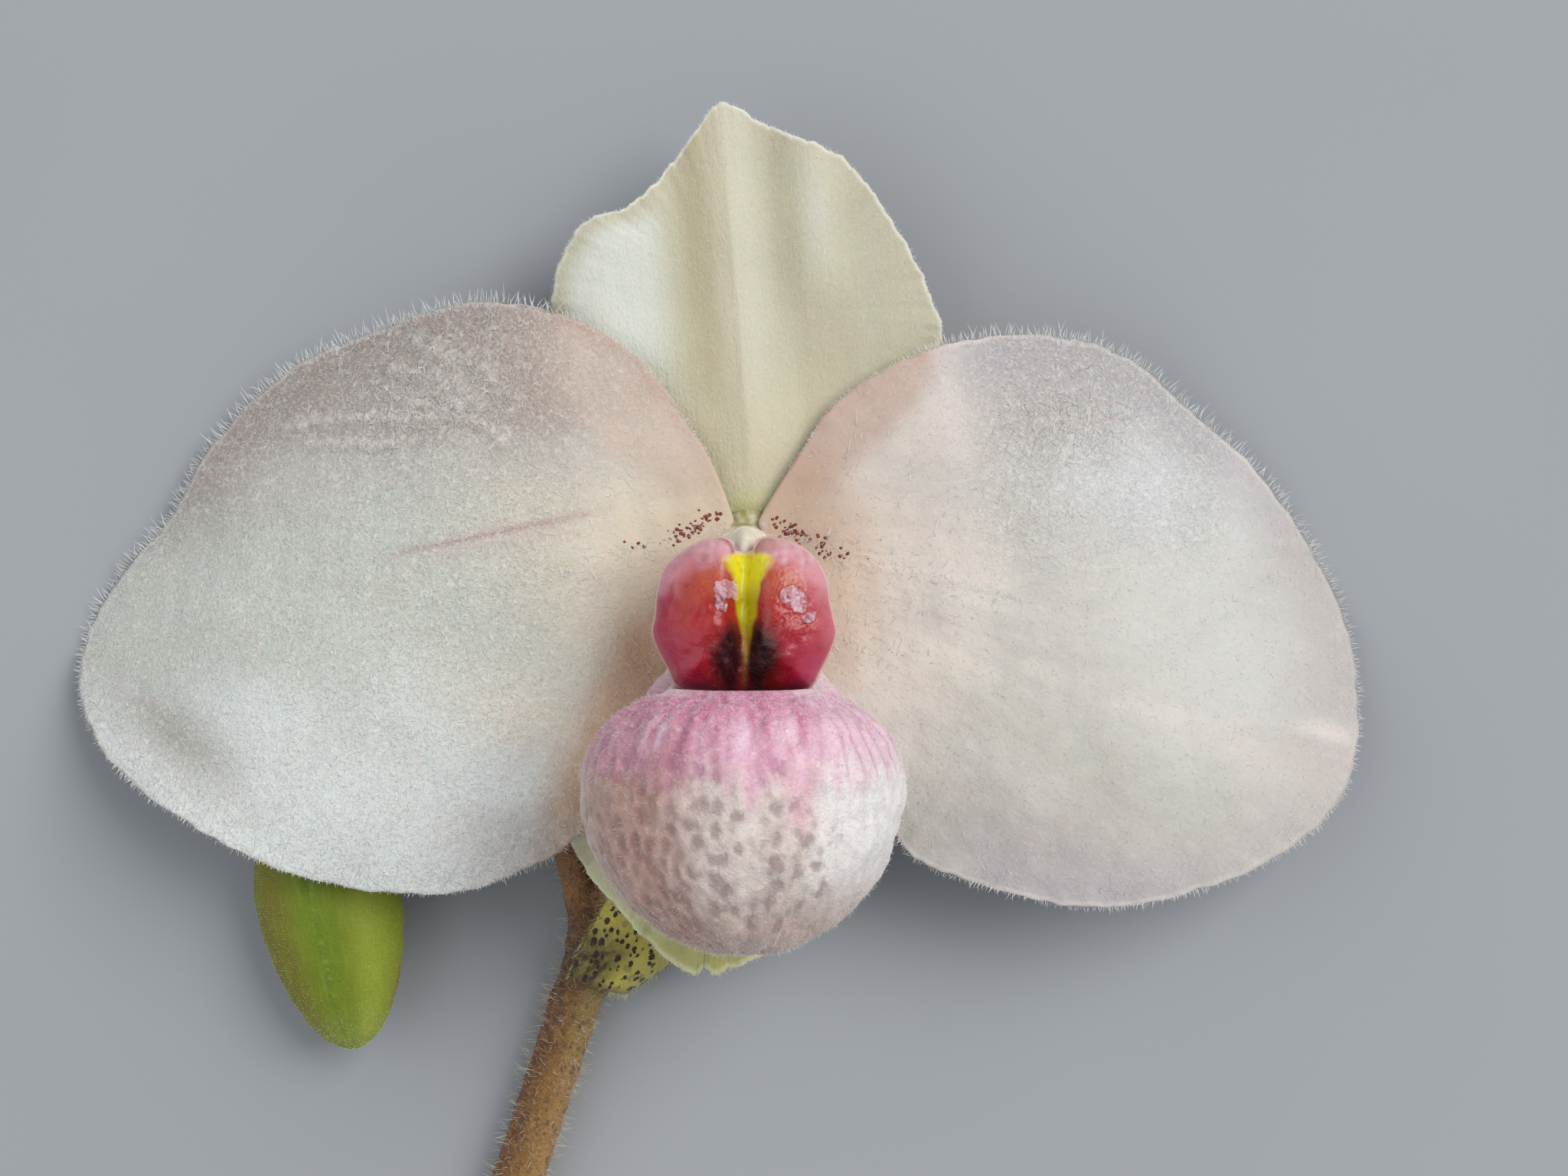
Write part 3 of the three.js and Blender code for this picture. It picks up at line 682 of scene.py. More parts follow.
DORSAL_OUTLINE = [
    (2.4, 1.4), (8.5, 5.4), (13.5, 10.5), (15.7, 15.6), (14.9, 19.0), (13.0, 23.0), (10.1, 27.4), (7.4, 30.2),
    (3.9, 31.6), (1.0, 32.8), (-1.9, 34.1), (-4.3, 31.4), (-6.6, 28.5), (-9.3, 26.1), (-12.6, 25.0), (-14.6, 22.2),
    (-15.5, 18.0), (-14.5, 12.0), (-9.5, 5.8), (-2.4, 1.4),
]
DORSAL_CENTRE = np.array((-0.2, 18.0))

LEFT_OUTLINE = [
    (-1.05, 1.9), (-3.7, 7.7), (-9.3, 14.7), (-15.5, 17.8), (-21.9, 18.6), (-28.4, 17.0), (-34.5, 15.0),
    (-40.0, 11.7), (-44.4, 6.9), (-47.5, 1.4), (-51.3, -2.8), (-54.4, -8.0), (-54.2, -13.6), (-50.0, -18.9),
    (-43.3, -22.9), (-36.3, -26.3), (-28.9, -27.9), (-22.1, -27.9), (-16.0, -25.6), (-12.9, -23.2), (-9.0, -17.0),
    (-4.8, -10.0), (-2.6, -4.6), (-1.8, -1.8), (-1.3, -0.6), (-1.1, 0.7),
]
LEFT_CENTRE = np.array((-27.3, -5.4))

RIGHT_OUTLINE = [
    (1.35, 1.7), (4.3, 6.4), (7.4, 10.7), (13.0, 14.1), (18.6, 15.7), (25.7, 15.9), (31.0, 14.3), (36.3, 10.3),
    (41.8, 5.6), (46.2, -0.2), (48.8, -5.4), (50.0, -11.2), (49.6, -16.9), (47.0, -22.1), (40.4, -26.2),
    (33.4, -28.5), (27.1, -29.2), (21.0, -28.1), (15.4, -26.3), (12.0, -23.8), (9.0, -17.0), (5.5, -10.0),
    (2.9, -4.6), (1.9, -1.8), (1.45, -0.6), (1.25, 0.5),
]
RIGHT_CENTRE = np.array((25.7, -6.0))


def crown_layers(x, y, margin, sepal_shade_colour):
    """The petal's crown where it lies over the sepal, warmer and darker as painted shade of the sepal seen through it,
    and its pale rim, painted light through the thin margin.
    """
    sepal_shade = inside(DORSAL_OUTLINE, DORSAL_CENTRE, x, y, 1.3)
    return [
        # Painted shade where the sepal lies behind the petal, deeper at its margin.
        (*sepal_shade_colour, 0.9 * sepal_shade * smooth(-1, 6, y)),
        (184, 158, 147, 0.45 * smooth(1.6, 0.1, margin) * sepal_shade * smooth(3, 7, y)),
        # Painted rim light along the margin.
        (226, 218, 214, 0.65 * smooth(0.4, 0.1, margin) * (1 - sepal_shade)),
    ]


def from_vein(x, y, rise=1.45):
    """How far a point of the left petal is above the vein that shows on it, or above a line beside the vein."""
    return y - (rise + 0.205 * (x + 13.6))


def left_petal_tint(x, y, margin):
    """Cool white below, mauve grey above, partly painted shade, warm towards the column, with painted shade and
    highlights where marked.
    """
    drift = lumps(columns(x, y), 12.0, 5)
    far = np.hypot(x, y + 4)
    line = bump(from_vein(x, y), 0.0, 0.26)
    halo = bump(from_vein(x, y, 0.75), 0.0, 1.0)
    reach = smooth(-31, -24, x) * smooth(-9, -15, x)
    along, across = turned(x + 46, y + 16.5, -35)
    return painted(
        (203, 207, 198),
        (227, 231, 230, 0.9 * smooth(-6, -19, y + 2.5 * drift)),
        (214, 204, 186, 0.85 * smooth(29, 11, far + 3 * drift)),
        (192, 184, 177, 0.6 * smooth(0.5, 6, y + 1.3 * drift)),
        # Partly its own mauve, partly painted shade beyond the fold where the crown rolls back.
        (182, 171, 165, 0.85 * smooth(5.6, 8.8, y + 0.8 * drift - 0.12 * (x + 32))),
        (158, 142, 136, 0.8 * smooth(8, 1, margin) * smooth(-5, 5, y) * smooth(-14, -20, x)),
        (182, 163, 151, 0.8 * bump(x, -16.0, 4.0) * smooth(4, 12, y)),
        *crown_layers(x, y, margin, (200, 182, 168)),
        (200, 179, 154, 0.8 * smooth(14, 5, far)),
        # Brown painted shadow of the lip and staminode beside the column.
        (200, 158, 122, 0.85 * smooth(-12.5, -8, x - 0.45 * (y + 9)) * smooth(-3, -9, y)),
        (196, 192, 190, 0.75 * smooth(-19, -24, y + drift) * bump(x, -18, 4.5)),
        (188, 150, 150, 0.2 * halo * reach),
        (176, 136, 138, 0.65 * line * reach),
        # Painted shade in the dip near the tip.
        (168, 162, 150, 0.75 * bump(across, 0.8, 2.4) * bump(along, 0, 6.5)),
        # Painted highlight along the fine creases, and painted shade just below them.
        (228, 222, 216, 0.6 * creased(x, y)),
        (150, 138, 130, 0.3 * creased(x, y + 0.5)),
        (186, 186, 180, 0.5 * bump(x, -43.5, 4.0) * bump(y, 0, 3.0)),
    )


def right_petal_tint(x, y, margin):
    """Pale and warm near the column, cooler outwards, mauve grey along its lower margin, with painted light and shade
    where marked.
    """
    drift = lumps(columns(x, y), 12.0, 6)
    far = np.hypot(x, y + 4)
    pale = painted((208, 197, 188), (226, 217, 207, smooth(3, -4, y)))
    warm = painted((195, 167, 143), (216, 193, 170, smooth(1, -4, y)))
    angle = np.degrees(np.arctan2(y + 1.0, x))
    ray = lumps(columns(angle, 0.05 * far), 17.0, 16)
    # A painted line of light shining through the petal beside the sepal's right edge.
    backlit_line = bump(x - (15.8 + 0.12 * (13 - y)), 0.0, 1.0 + 0.12 * np.maximum(0, 13 - y))
    along, across = turned(x - 45.5, y + 16.0, -12)
    return painted(
        (197, 194, 187),
        (198, 198, 194, 0.8 * smooth(24, 38, x + 3 * drift)),
        # Painted bluish-white sheen on the upper right.
        (222, 223, 226, 0.7 * bump(x, 31, 7.5) * bump(y + drift, 5, 6.5)),
        (pale, 0.9 * smooth(26, 12, far + 3 * drift)),
        (178, 171, 168, 0.85 * smooth(-16, -25, y + 2 * drift)),
        (188, 180, 179, 0.7 * smooth(3, 11, y + drift) * smooth(15, 19, x) * smooth(36, 27, x)),
        (176, 170, 175, 0.7 * smooth(6, 1, margin) * smooth(12, 20, x)),
        *crown_layers(x, y, margin, (188, 164, 151)),
        (warm, 0.85 * smooth(14, 7, far)),
        (172, 142, 120, 0.45 * bump(x, 5.3, 2.2) * bump(y, 4.4, 2.6)),
        # Painted shade and light along the radiating rays.
        (182, 181, 170, 0.5 * smooth(0.0, 0.9, ray) * smooth(11, 22, far) * smooth(4, -2, y)),
        (214, 208, 200, 0.5 * bump(angle, -22.0, 3.0) * smooth(8, 14, far)),
        # Painted light along the sepal's edge.
        (212, 201, 198, 0.6 * backlit_line * smooth(-1, 10, y)),
        (182, 176, 172, 0.7 * smooth(39, 47, x + 1.5 * drift)),
        # Painted highlight on the crease near the lower margin, and painted shade beside it.
        (228, 220, 214, 0.6 * bump(across, 0.5, 0.9) * bump(along, 1.5, 3.0)),
        (190, 178, 176, 0.5 * bump(across, -1.8, 1.6) * bump(along, -2.0, 5.0)),
    )


# Fine creases on the left petal's crown, as lines of (x, y)
CREASES = [
    [(-26.8, 15.9), (-25.2, 14.9), (-23.6, 14.6), (-21.6, 13.8), (-19.6, 12.2)],
    [(-25.9, 16.4), (-25.4, 14.6), (-24.6, 12.8), (-23.6, 11.2), (-22.4, 10.2)],
    [(-36.8, 8.9), (-33.0, 9.5), (-29.5, 9.4), (-25.5, 9.5), (-21.3, 9.2), (-18.9, 7.3)],
    [(-28.5, 13.6), (-26.4, 12.9), (-24.4, 12.2), (-22.6, 11.6), (-20.9, 10.0)],
    [(-27.6, 11.0), (-25.6, 10.4), (-23.4, 10.1)], [(-35.5, 7.3), (-32.5, 7.6), (-29.5, 7.3), (-26.5, 7.5)],
    [(-24.6, 15.8), (-23.3, 13.4), (-22.3, 11.9)],
]


def creased(x, y):
    """1 along the fine creases, fading to 0 beside them."""
    shown = np.zeros(len(x))
    wander = 0.25 * lumps(columns(x, y), 1.6, 17)
    for line in CREASES:
        route = open_curve([(*p, 0) for p in line], 14)
        away = np.full(len(x), np.inf)
        for (ax, ay, _), (bx, by, _) in zip(route[:-1], route[1:]):
            t = np.clip(((x - ax) * (bx - ax) + (y - ay) * (by - ay)) / ((bx - ax) ** 2 + (by - ay) ** 2), 0, 1)
            away = np.minimum(away, np.hypot(x - ax - t * (bx - ax), y - ay - t * (by - ay)))
        shown = np.maximum(shown, bump(away + wander, 0.0, 0.3))
    return shown


def left_petal_relief(x, y):
    at = columns(x, y)
    along, across = turned(x + 46, y + 17.2, -35)
    relief = 0.22 * lumps(at, 11.0, 12) - 0.85 * bump(across, 0, 2.9) * bump(along, 0, 7.0)
    swirl = lumps(columns((x - 0.45 * y) * 0.3, y + 0.45 * x), 1.7, 14)
    relief = relief + 0.22 * bump(swirl, 0, 0.3) * bump(x, -26.0, 7.5) * bump(y, 12.5, 4.5)
    relief = relief + 0.14 * creased(x, y)
    return relief - 0.12 * bump(from_vein(x, y), 0.0, 0.5) * smooth(-31, -24, x)


def right_petal_relief(x, y):
    at = columns(x, y)
    angle = np.degrees(np.arctan2(y + 1.0, x))
    rays = 0.16 * np.sin(np.radians(angle * 15.0) + 0.8 * lumps(at, 14.0, 15)) * smooth(12, 24, x)
    along, across = turned(x - 44.5, y + 16.4, -12)
    return 0.2 * lumps(at, 12.0, 13) + rays - 0.5 * bump(across, -0.6, 1.1) * bump(along, 0, 4.5)


def long_hair(x, y, outward):
    """How long a petal's margin hairs are: long on its crown, short below and short over the bud."""
    length = 0.75 + 0.8 * smooth(-0.1, 0.7, outward[:, 1]) - 0.3 * smooth(-24.5, -26.0, y) * smooth(-18, -22, x)
    return length * (0.3 + 0.7 * np.maximum(smooth(12, 16, np.abs(x)), smooth(3, -3, y)))


def spot_places(side, line, seed):
    """Places of the small spots along a line of (x, y, half width of the band, spots per mm)."""
    rng = np.random.default_rng(seed)
    places = []
    line = np.array(line, float)
    for start, end in zip(line[:-1], line[1:]):
        length = np.hypot(*(end - start)[:2])
        for _ in range(int(round(length * start[3]))):
            t = rng.uniform()
            x, y, half, _ = start + (end - start) * t
            long = rng.uniform(0.1, 0.23) * rng.uniform(0.8, 1.2)
            places.append((x + rng.normal(0, 0.15), y + rng.normal(0, half), long, long * rng.uniform(0.55, 0.95),
                           rng.normal(side * 20, 35)))
    return places


def make_petal(side, outline, centre, form, relief_at, tint_at, dots, seed):
    name = "petal_left" if side < 0 else "petal_right"

    def height(x, y):
        at = columns(x, y)
        angle = np.arctan2(y + 1.0, np.abs(x))
        ribs = 0.012 * np.sin(angle * 74 + 0.6 * lumps(at, 14.0, seed)) * smooth(5, 14, np.abs(x))
        return form(x, y) + relief_at(x, y) + ribs + 0.05 * lumps(at, 3.2, seed + 2)

    points, faces, margin = blade(outline, centre, height, 84, 300, 0.16, seed)
    x, y, _ = points.T
    far = np.hypot(x, y)
    if side < 0:
        grain = 0.45 + 0.55 * smooth(-10, -20, x)
        wrinkled = bump(x, -26.0, 8.0) * bump(y, 12.0, 4.5)
        wrinkled = wrinkled + 0.3 * smooth(4.0, 1.0, margin) * smooth(12, 20, np.abs(x))
    else:
        grain = 0.18 + 0.55 * (1.3 * smooth(-6, 3, y) * smooth(15, 22, x) * smooth(42, 36, x))
        wrinkled = 0.7 * bump(x, 26, 6) * bump(y, 9, 3)
        wrinkled = wrinkled + 0.12 * smooth(4.0, 1.0, margin) * smooth(12, 20, np.abs(x))
    fields = {
        "tint": tint_at(x, y, margin), "grain": grain * (0.3 + 0.7 * smooth(7, 16, far)), "wrinkled": wrinkled,
        "fan_across": np.arctan2(y + 1.0, np.abs(x)) * 26.0, "fan_along": far * 0.22, "streaked": smooth(6, 15, far),
    }
    make_piece(name + "_blade", points, faces, PETAL, name, fields, FLOWER)

    def seen(x, y):
        return ~((np.abs(x) < 12.5) & (y < 5.0) & (y > -23.0))

    margin_hairs(name + "_margin_hairs", outline, height, 900, long_hair, 0.03, "petal", seed + 20, centre, seen)
    felt_hairs(name + "_felt", outline, centre, height, 5000, 0.55, 0.018, "petal", seed + 30, (0.3 * side, 0))
    rng = np.random.default_rng(seed + 40)
    count = 130
    root = columns(side * rng.uniform(6, 17, count), rng.uniform(-10, 9, count) + (1 - side) * -1.5)
    direction = columns(side * rng.uniform(0.0, 1.0, count), rng.normal(0.3, 0.6, count), rng.uniform(0.2, 0.7, count))
    hairs(name + "_long_hairs", columns(*root.T, height(*root.T) - 0.02), direction, rng.uniform(0.7, 1.5, count),
          0.024, (0, 0.3, -0.35), WHITE_HAIR, "petal", seed + 41, FLOWER, LONG_HAIR)
    spots(name + "_spots", spot_places(side, dots, seed + 50), height, 0.035, PETAL_SPOT, seed + 51)


make_petal(-1, LEFT_OUTLINE, LEFT_CENTRE,
           petal_form(axis=188, centre=LEFT_CENTRE, roll_x=-0.82, roll_y=0.57, roll=9.85, tip=2.9, length=56),
           left_petal_relief, left_petal_tint,
           dots=[(-2.0, 1.6, 0.25, 13), (-3.6, 0.85, 0.42, 13), (-5.6, 0.0, 0.4, 1.6), (-9.8, -0.9, 0.4, 1)], seed=11)
make_petal(1, RIGHT_OUTLINE, RIGHT_CENTRE,
           petal_form(axis=-8, centre=RIGHT_CENTRE, roll_x=0.833, roll_y=0.553, roll=9.85, tip=4, length=52),
           right_petal_relief, right_petal_tint,
           dots=[(2.0, 1.2, 0.42, 9), (4.2, 0.15, 0.4, 9), (6.4, -0.9, 0.3, 1.8), (9.9, -2.4, 0.4, 1)], seed=12)


# ---- Sepals ----
DORSAL_HEIGHT, SYNSEPAL_HEIGHT = 9.3, 8.2


def from_keel(x, y):
    """How far a point of the dorsal sepal is to the right of its keel."""
    return x - 1 + 0.09 * y


def make_sepal(name, outline, centre, height, tint_at, skin, rings, spokes, ruffle, seed, down):
    """A sepal and the hairs along its margin. down gives their count, their length and the y range they grow in."""
    points, faces, margin = blade(outline, centre, height, rings, spokes, ruffle, seed)
    tint = tint_at(points[:, 0], points[:, 1], margin)
    make_piece(name + "_blade", points, faces, skin, name, {"tint": tint}, FLOWER)
    count, length, low, high = down
    margin_hairs(name + "_hairs", outline, height, count, lambda x, y, outward: length, 0.02, name, seed + 2, centre,
                 lambda x, y: (y > low) & (y < high))


def dorsal_height(x, y):
    k = from_keel(x, y)
    keel = 0.95 * np.exp(-np.sqrt(k**2 + 0.03) / 2.3) * np.minimum(1, y / 12)
    fold = 0.5 * bump(k, 7.2, 2.4) * smooth(13, 23, y) - 0.1 * bump(k, 4.6, 1.8) * smooth(10, 22, y)
    left = 0.1 * np.maximum(0, -k - 4) - 0.05 * np.maximum(0, -x - 10.5) ** 2
    form = DORSAL_HEIGHT + keel + fold + left + 0.05 * np.maximum(0, y - 18) - 0.006 * k**2
    return form + 0.1 * lumps(columns(x, y), 8.0, 61)


def dorsal_tint(x, y, margin):
    k = from_keel(x, y)
    return painted(
        (194, 191, 168),
        # Painted light on the left lobe.
        (214, 218, 210, 0.9 * smooth(-4.0, -7.5, k) * smooth(6, 13, y) * smooth(0.3, 2.5, margin)),
        # Painted shade on the keel's left flank, a painted light line on the keel and painted light on its right
        # flank.
        (176, 166, 134, 0.75 * bump(k, -2.7, 1.7) * smooth(5, 14, y)),
        (210, 200, 176, 0.6 * bump(k, -0.5, 0.8) * smooth(8, 16, y) * smooth(0.05, -0.2, k)),
        (205, 202, 184, 0.75 * bump(k, 1.2, 1.7) * smooth(3, 9, y) * smooth(-0.1, 0.2, k)),
        # Painted shade in the valley right of the keel and painted light on the fold's crest.
        (164, 158, 132, 0.6 * bump(k, 4.3, 1.6) * smooth(12, 22, y)),
        (208, 208, 198, 0.6 * bump(k, 7.0, 1.2) * bump(y, 26, 4)),
        # Painted shade over the right part.
        (178, 174, 153, 0.7 * smooth(7.5, 11, k)),
        (172, 162, 138, 0.5 * smooth(3.5, 5.5, k) * smooth(10.5, 8.5, k) * smooth(22, 17, y)),
        (200, 190, 160, 0.6 * smooth(17, 6, y)),
        (188, 192, 138, 0.9 * smooth(5.0, 2.0, y) * bump(x, 0.3, 2.2)),
        (172, 168, 112, 0.9 * smooth(3.2, 1.9, y) * bump(x, 0.3, 2.2)),
        (236, 235, 226, 0.7 * smooth(0.32, 0.08, margin)),
    )


def synsepal_height(x, y):
    across = x - 0.09 * y
    folds = 0.3 * np.sin(x * 1.9 + 0.5) * smooth(-30, -34, y)
    form = SYNSEPAL_HEIGHT - 0.004 * across**2 + 0.08 * lumps(columns(x, y), 8.0, 71)
    return form + 0.03 * np.sin(across * 4.5) + folds


def synsepal_tint(x, y, margin):
    return painted(
        (220, 213, 186),
        (192, 196, 136, 0.9 * smooth(-25, -32, y)),
        # Darker olive at the tip: painted shade.
        (166, 163, 100, 0.8 * smooth(-30.5, -33, y)),
        (226, 226, 192, 0.7 * smooth(0.6, 0.1, margin)),
    )


SYNSEPAL_OUTLINE = [
    (2.2, -3.1), (6.5, -6.5), (9.8, -12.0), (10.4, -18.0), (9.6, -23.0), (8.2, -27.0), (5.5, -30.8), (2.6, -32.8),
    (0.0, -34.0), (-2.2, -34.9), (-3.2, -34.4), (-4.4, -34.9), (-7.7, -32.4), (-9.6, -30.3), (-12.0, -27.6),
    (-13.8, -24.6), (-14.2, -19.5), (-12.4, -13.0), (-7.5, -7.0), (-2.2, -3.1),
]
SYNSEPAL_CENTRE = np.array((-2.0, -18.5))

make_sepal("dorsal_sepal", DORSAL_OUTLINE, DORSAL_CENTRE, dorsal_height, dorsal_tint, DORSAL_SKIN, rings=66,
           spokes=260, ruffle=0.1, seed=60, down=(700, 0.42, 12, np.inf))
felt_hairs("dorsal_sepal_felt", DORSAL_OUTLINE, DORSAL_CENTRE, dorsal_height, 2200, 0.28, 0.013, "dorsal_sepal", 64,
           (0, 0.3))
make_sepal("synsepal", SYNSEPAL_OUTLINE, SYNSEPAL_CENTRE, synsepal_height, synsepal_tint, SYNSEPAL_SKIN, rings=48,
           spokes=220, ruffle=0.16, seed=70, down=(420, 0.55, -np.inf, -20))


# ---- Lip: a pouch, round below and drawn in to its mouth ----
LIP_HALF_WIDTH, LIP_HALF_DEPTH = 12.1, 10.5
LIP_HEIGHT, LIP_WIDEST_Y, LIP_BOTTOM_Y = 21.5, -18.6, -31.4
LIP_SHOULDER = math.radians(75)  # how far the wall turns inwards between its widest level and the mouth
MOUTH_HALF_WIDTH, MOUTH_HALF_DEPTH, MOUTH_HEIGHT = 6.2, 7.6, 21.0
RIM_Y, SIDE_DIP, REAR_RISE = -11.8, 0.6, 8.9
RIM_LIP = 0.3  # how far the rounded rim stands over the wall
LIP_WALL = 0.9

# The larger spots, in degrees to the right of the lip's front and mm from the flower's centre:
LIP_SPOTS = [
    (-15, -17.1), (-13.5, -19.5), (-8, -19.6), (-18, -20.7), (-9, -21.3), (-15, -22), (-1, -20.3), (-0.5, -22.6),
    (-7, -23.4), (-23.5, -23.4), (12, -19.8), (12.5, -22), (19, -19.5), (13, -23.8), (22, -24.4), (30, -23.9),
    (15, -25.5), (-10, -25.1), (-7, -25.9), (-20, -24.2), (-26, -26.2), (-12, -27.2), (-3, -27.4), (12, -26.6),
    (28, -27.1), (35, -25.7), (20.5, -28.7), (-25.5, -28.7), (-8, -17.4), (13, -16.8), (24, -22.3), (5, -28.5),
]
MM_PER_DEGREE = 0.2  # around the front of the lip


def lip_wall(level, angle, inset):
    """Points of the pouch's wall. level runs from -90 at the bottom to 90 at the mouth, angle 90 is the front."""
    level, angle = np.meshgrid(np.radians(level), angle, indexing="ij")
    wide_x = (LIP_HALF_WIDTH - inset) * np.cos(angle)
    wide_z = (LIP_HALF_DEPTH - inset) * np.sin(angle)
    below = np.minimum(level, 0)
    reach = np.maximum(np.cos(below), 0)
    drop = (LIP_WIDEST_Y - LIP_BOTTOM_Y - inset) * np.sin(below)
    on_wall = np.maximum(level, 0) / (np.pi / 2) * LIP_SHOULDER
    inwards = (1 - np.cos(on_wall)) / (1 - math.cos(LIP_SHOULDER))
    upwards = np.sin(on_wall) / math.sin(LIP_SHOULDER)
    front, back = np.minimum(1, 2.5 * np.maximum(0, np.sin(angle))), np.maximum(0, -np.sin(angle))
    rim_y = RIM_Y - SIDE_DIP * (1 - front) + REAR_RISE * back**3
    mouth_x = (MOUTH_HALF_WIDTH - inset) * np.cos(angle)
    mouth_z = MOUTH_HEIGHT - LIP_HEIGHT + (MOUTH_HALF_DEPTH - inset) * np.sin(angle)
    is_upper = level > 0
    x = np.where(is_upper, wide_x + (mouth_x - wide_x) * inwards, wide_x * reach)
    y = LIP_WIDEST_Y + np.where(is_upper, (rim_y - LIP_WIDEST_Y) * upwards, drop)
    z = LIP_HEIGHT + np.where(is_upper, wide_z + (mouth_z - wide_z) * inwards, wide_z * reach)
    return np.stack([x, y, z], axis=2)


def lip_marks(points, right, y):
    """How strongly each point is spotted: large ragged spots in front, upright smudges to the left."""
    ragged = 0.3 * lumps(points, 0.9, 84) + 0.2 * lumps(points, 0.45, 85)
    rng = np.random.default_rng(86)
    marked = np.zeros(len(points))
    for turn, middle in LIP_SPOTS:
        for size, strong, stray in ((0.52, 0.95, 0.0), (0.36, 0.7, 0.8), (0.3, 0.6, 1.0)):
            size = size * rng.uniform(0.85, 1.25)
            turn_here, middle_here = turn + rng.normal(0, stray) / MM_PER_DEGREE * 0.7, middle + rng.normal(0, stray)
            away = np.hypot((right - turn_here) * MM_PER_DEGREE, (y - middle_here) * rng.uniform(0.75, 1.1)) / size
            marked = np.maximum(marked, strong * rng.uniform(0.75, 1.0) * smooth(1.8, 0.3, away + ragged))
    for turn in np.arange(-80, -20, 5.5):
        for middle in np.arange(-15.0, -30, -1.45):
            turn_here, middle_here = turn + rng.normal(0, 1.3), middle + rng.normal(0, 0.45)
            away = np.hypot((right - turn_here) * MM_PER_DEGREE / 0.45, (y - middle_here) / rng.uniform(0.55, 0.9))
            marked = np.maximum(marked, rng.uniform(0.5, 1.0) * smooth(1.9, 0.2, away + 0.8 * ragged))
    for _ in range(70):
        turn, middle = rng.uniform(-22, 40), rng.uniform(-29.5, -18)
        away = np.hypot((right - turn) * MM_PER_DEGREE, (y - middle) * 0.9) / rng.uniform(0.22, 0.42)
        pale = 0.35 + 0.65 * smooth(3.5, 7, abs(turn - 2))
        marked = np.maximum(marked, rng.uniform(0.25, 0.6) * pale * smooth(1.8, 0.3, away + ragged))
    for _ in range(26):
        turn, middle = rng.uniform(36, 70), rng.uniform(-28, -17)
        away = np.hypot((right - turn) * MM_PER_DEGREE, y - middle) / 0.5
        marked = np.maximum(marked, 0.25 * smooth(1.5, 0.4, away + ragged))
    return marked


def lip_tint(points, right, level):
    """Rose at the mouth, running down in streaks, over cream on the right and mauve beige on the left, both partly
    painted light and shade.
    """
    y = points[:, 1]
    streaky = lumps(points, (1.6, 9.0, 1.6), 87)
    edge = -16.6 + 0.9 * streaky + 1.6 * bump(right, -25, 5) - 1.0 * bump(right, 4, 6) - 1.0 * bump(right, 14, 5)
    edge = edge + 0.9 * smooth(-30, -50, right) + 0.8 * smooth(35, 60, right) - 1.3 * bump(right, -24, 4)
    rose = smooth(-3.0, 1.9, y - edge)
    streak = bump(right, 24 + 1.2 * lumps(points, 2.5, 88), 6.5) * smooth(-22.6, -20.5, y + 0.5 * streaky)
    front = 1 - 0.65 * smooth(24, 42, right)
    runs = ((-24, -17.8, 0.5), (-10, -17.4, 0.45), (12, -16.8, 0.5), (5, -15.6, 0.4), (33, -16.5, 0.3))
    painted_highlights = ((1.5, -14.9, 3.0, 1.7), (25, -15.3, 9.0, 1.9), (-38, -14.3, 5.0, 1.2))
    pleats = (44, 51, 58, 66, 74, 83, -48, -57, -66, -76, -85)
    wander = 0.5 * lumps(points, 3.0, 89)
    return painted(
        (213, 201, 194),
        # Mauve beige on the left: partly its own tone, partly painted shade.
        (188, 152, 138, 0.92 * smooth(-8, -42, right)),
        # Painted rim light along the far left edge.
        (214, 196, 186, 0.6 * smooth(-62, -84, right)),
        # Cream on the right: partly its own tone, partly painted light.
        (234, 232, 231, 0.9 * smooth(22, 38, right) * smooth(-30, -22, y)),
        (226, 216, 208, 0.6 * bump(right, 3, 4) * smooth(-16, -19, y)),
        # Darker towards the bottom: partly its own beige, partly painted shade.
        (182, 152, 136, 0.75 * smooth(-24.5, -30, y)),
        (221, 166, 191, 0.95 * rose),
        # Darker rose on the left and lighter rose on the right: partly own tone, partly painted shade and light.
        (184, 126, 136, 0.7 * rose * smooth(-10, -30, right)),
        (238, 206, 222, 0.75 * rose * smooth(28, 44, right)),
        (222, 172, 188, 0.7 * streak),
        (202, 122, 156, 0.9 * front * smooth(-15.0, -12.3, y + 0.5 * streaky)),
        (188, 104, 140, 0.5 * front * smooth(0.3, 1.0, streaky) * smooth(-17.5, -14, y)),
        # Painted shade on the upper left shoulder.
        (164, 116, 120, 0.6 * bump(right, -32, 9) * bump(y, -16.8, 1.9)),
        (168, 130, 116, 0.35 * bump(right, -44, 10) * smooth(-16.5, -18.5, y)),
        *[(178, 92, 128, dark * bump(right, turn, 2.2) * smooth(low - 0.8, low + 0.8, y)) for turn, low, dark in runs],
        # Painted highlights in the rose.
        *[(242, 218, 236, 0.75 * (bump(right, turn, wide) * bump(y, middle, tall)) * smooth(0.9, -0.6, streaky))
          for turn, middle, wide, tall in painted_highlights],
        *[(176, 100, 132, 0.5 * (bump(right, turn + wander, 0.8) * smooth(-19.5, -16, y) * smooth(88, 75, level)))
          for turn in pleats],
        (236, 210, 218, 0.6 * smooth(-12.15, -11.75, y) * smooth(20, 55, np.abs(right))),
        (222, 200, 182, 0.9 * smooth(-11.3, -10.4, y)),
    )


def degrees_right(degrees):
    """Degrees around the lip, counted from +X, as degrees to the right of its front from -180 to 180."""
    return (90 - degrees + 180) % 360 - 180


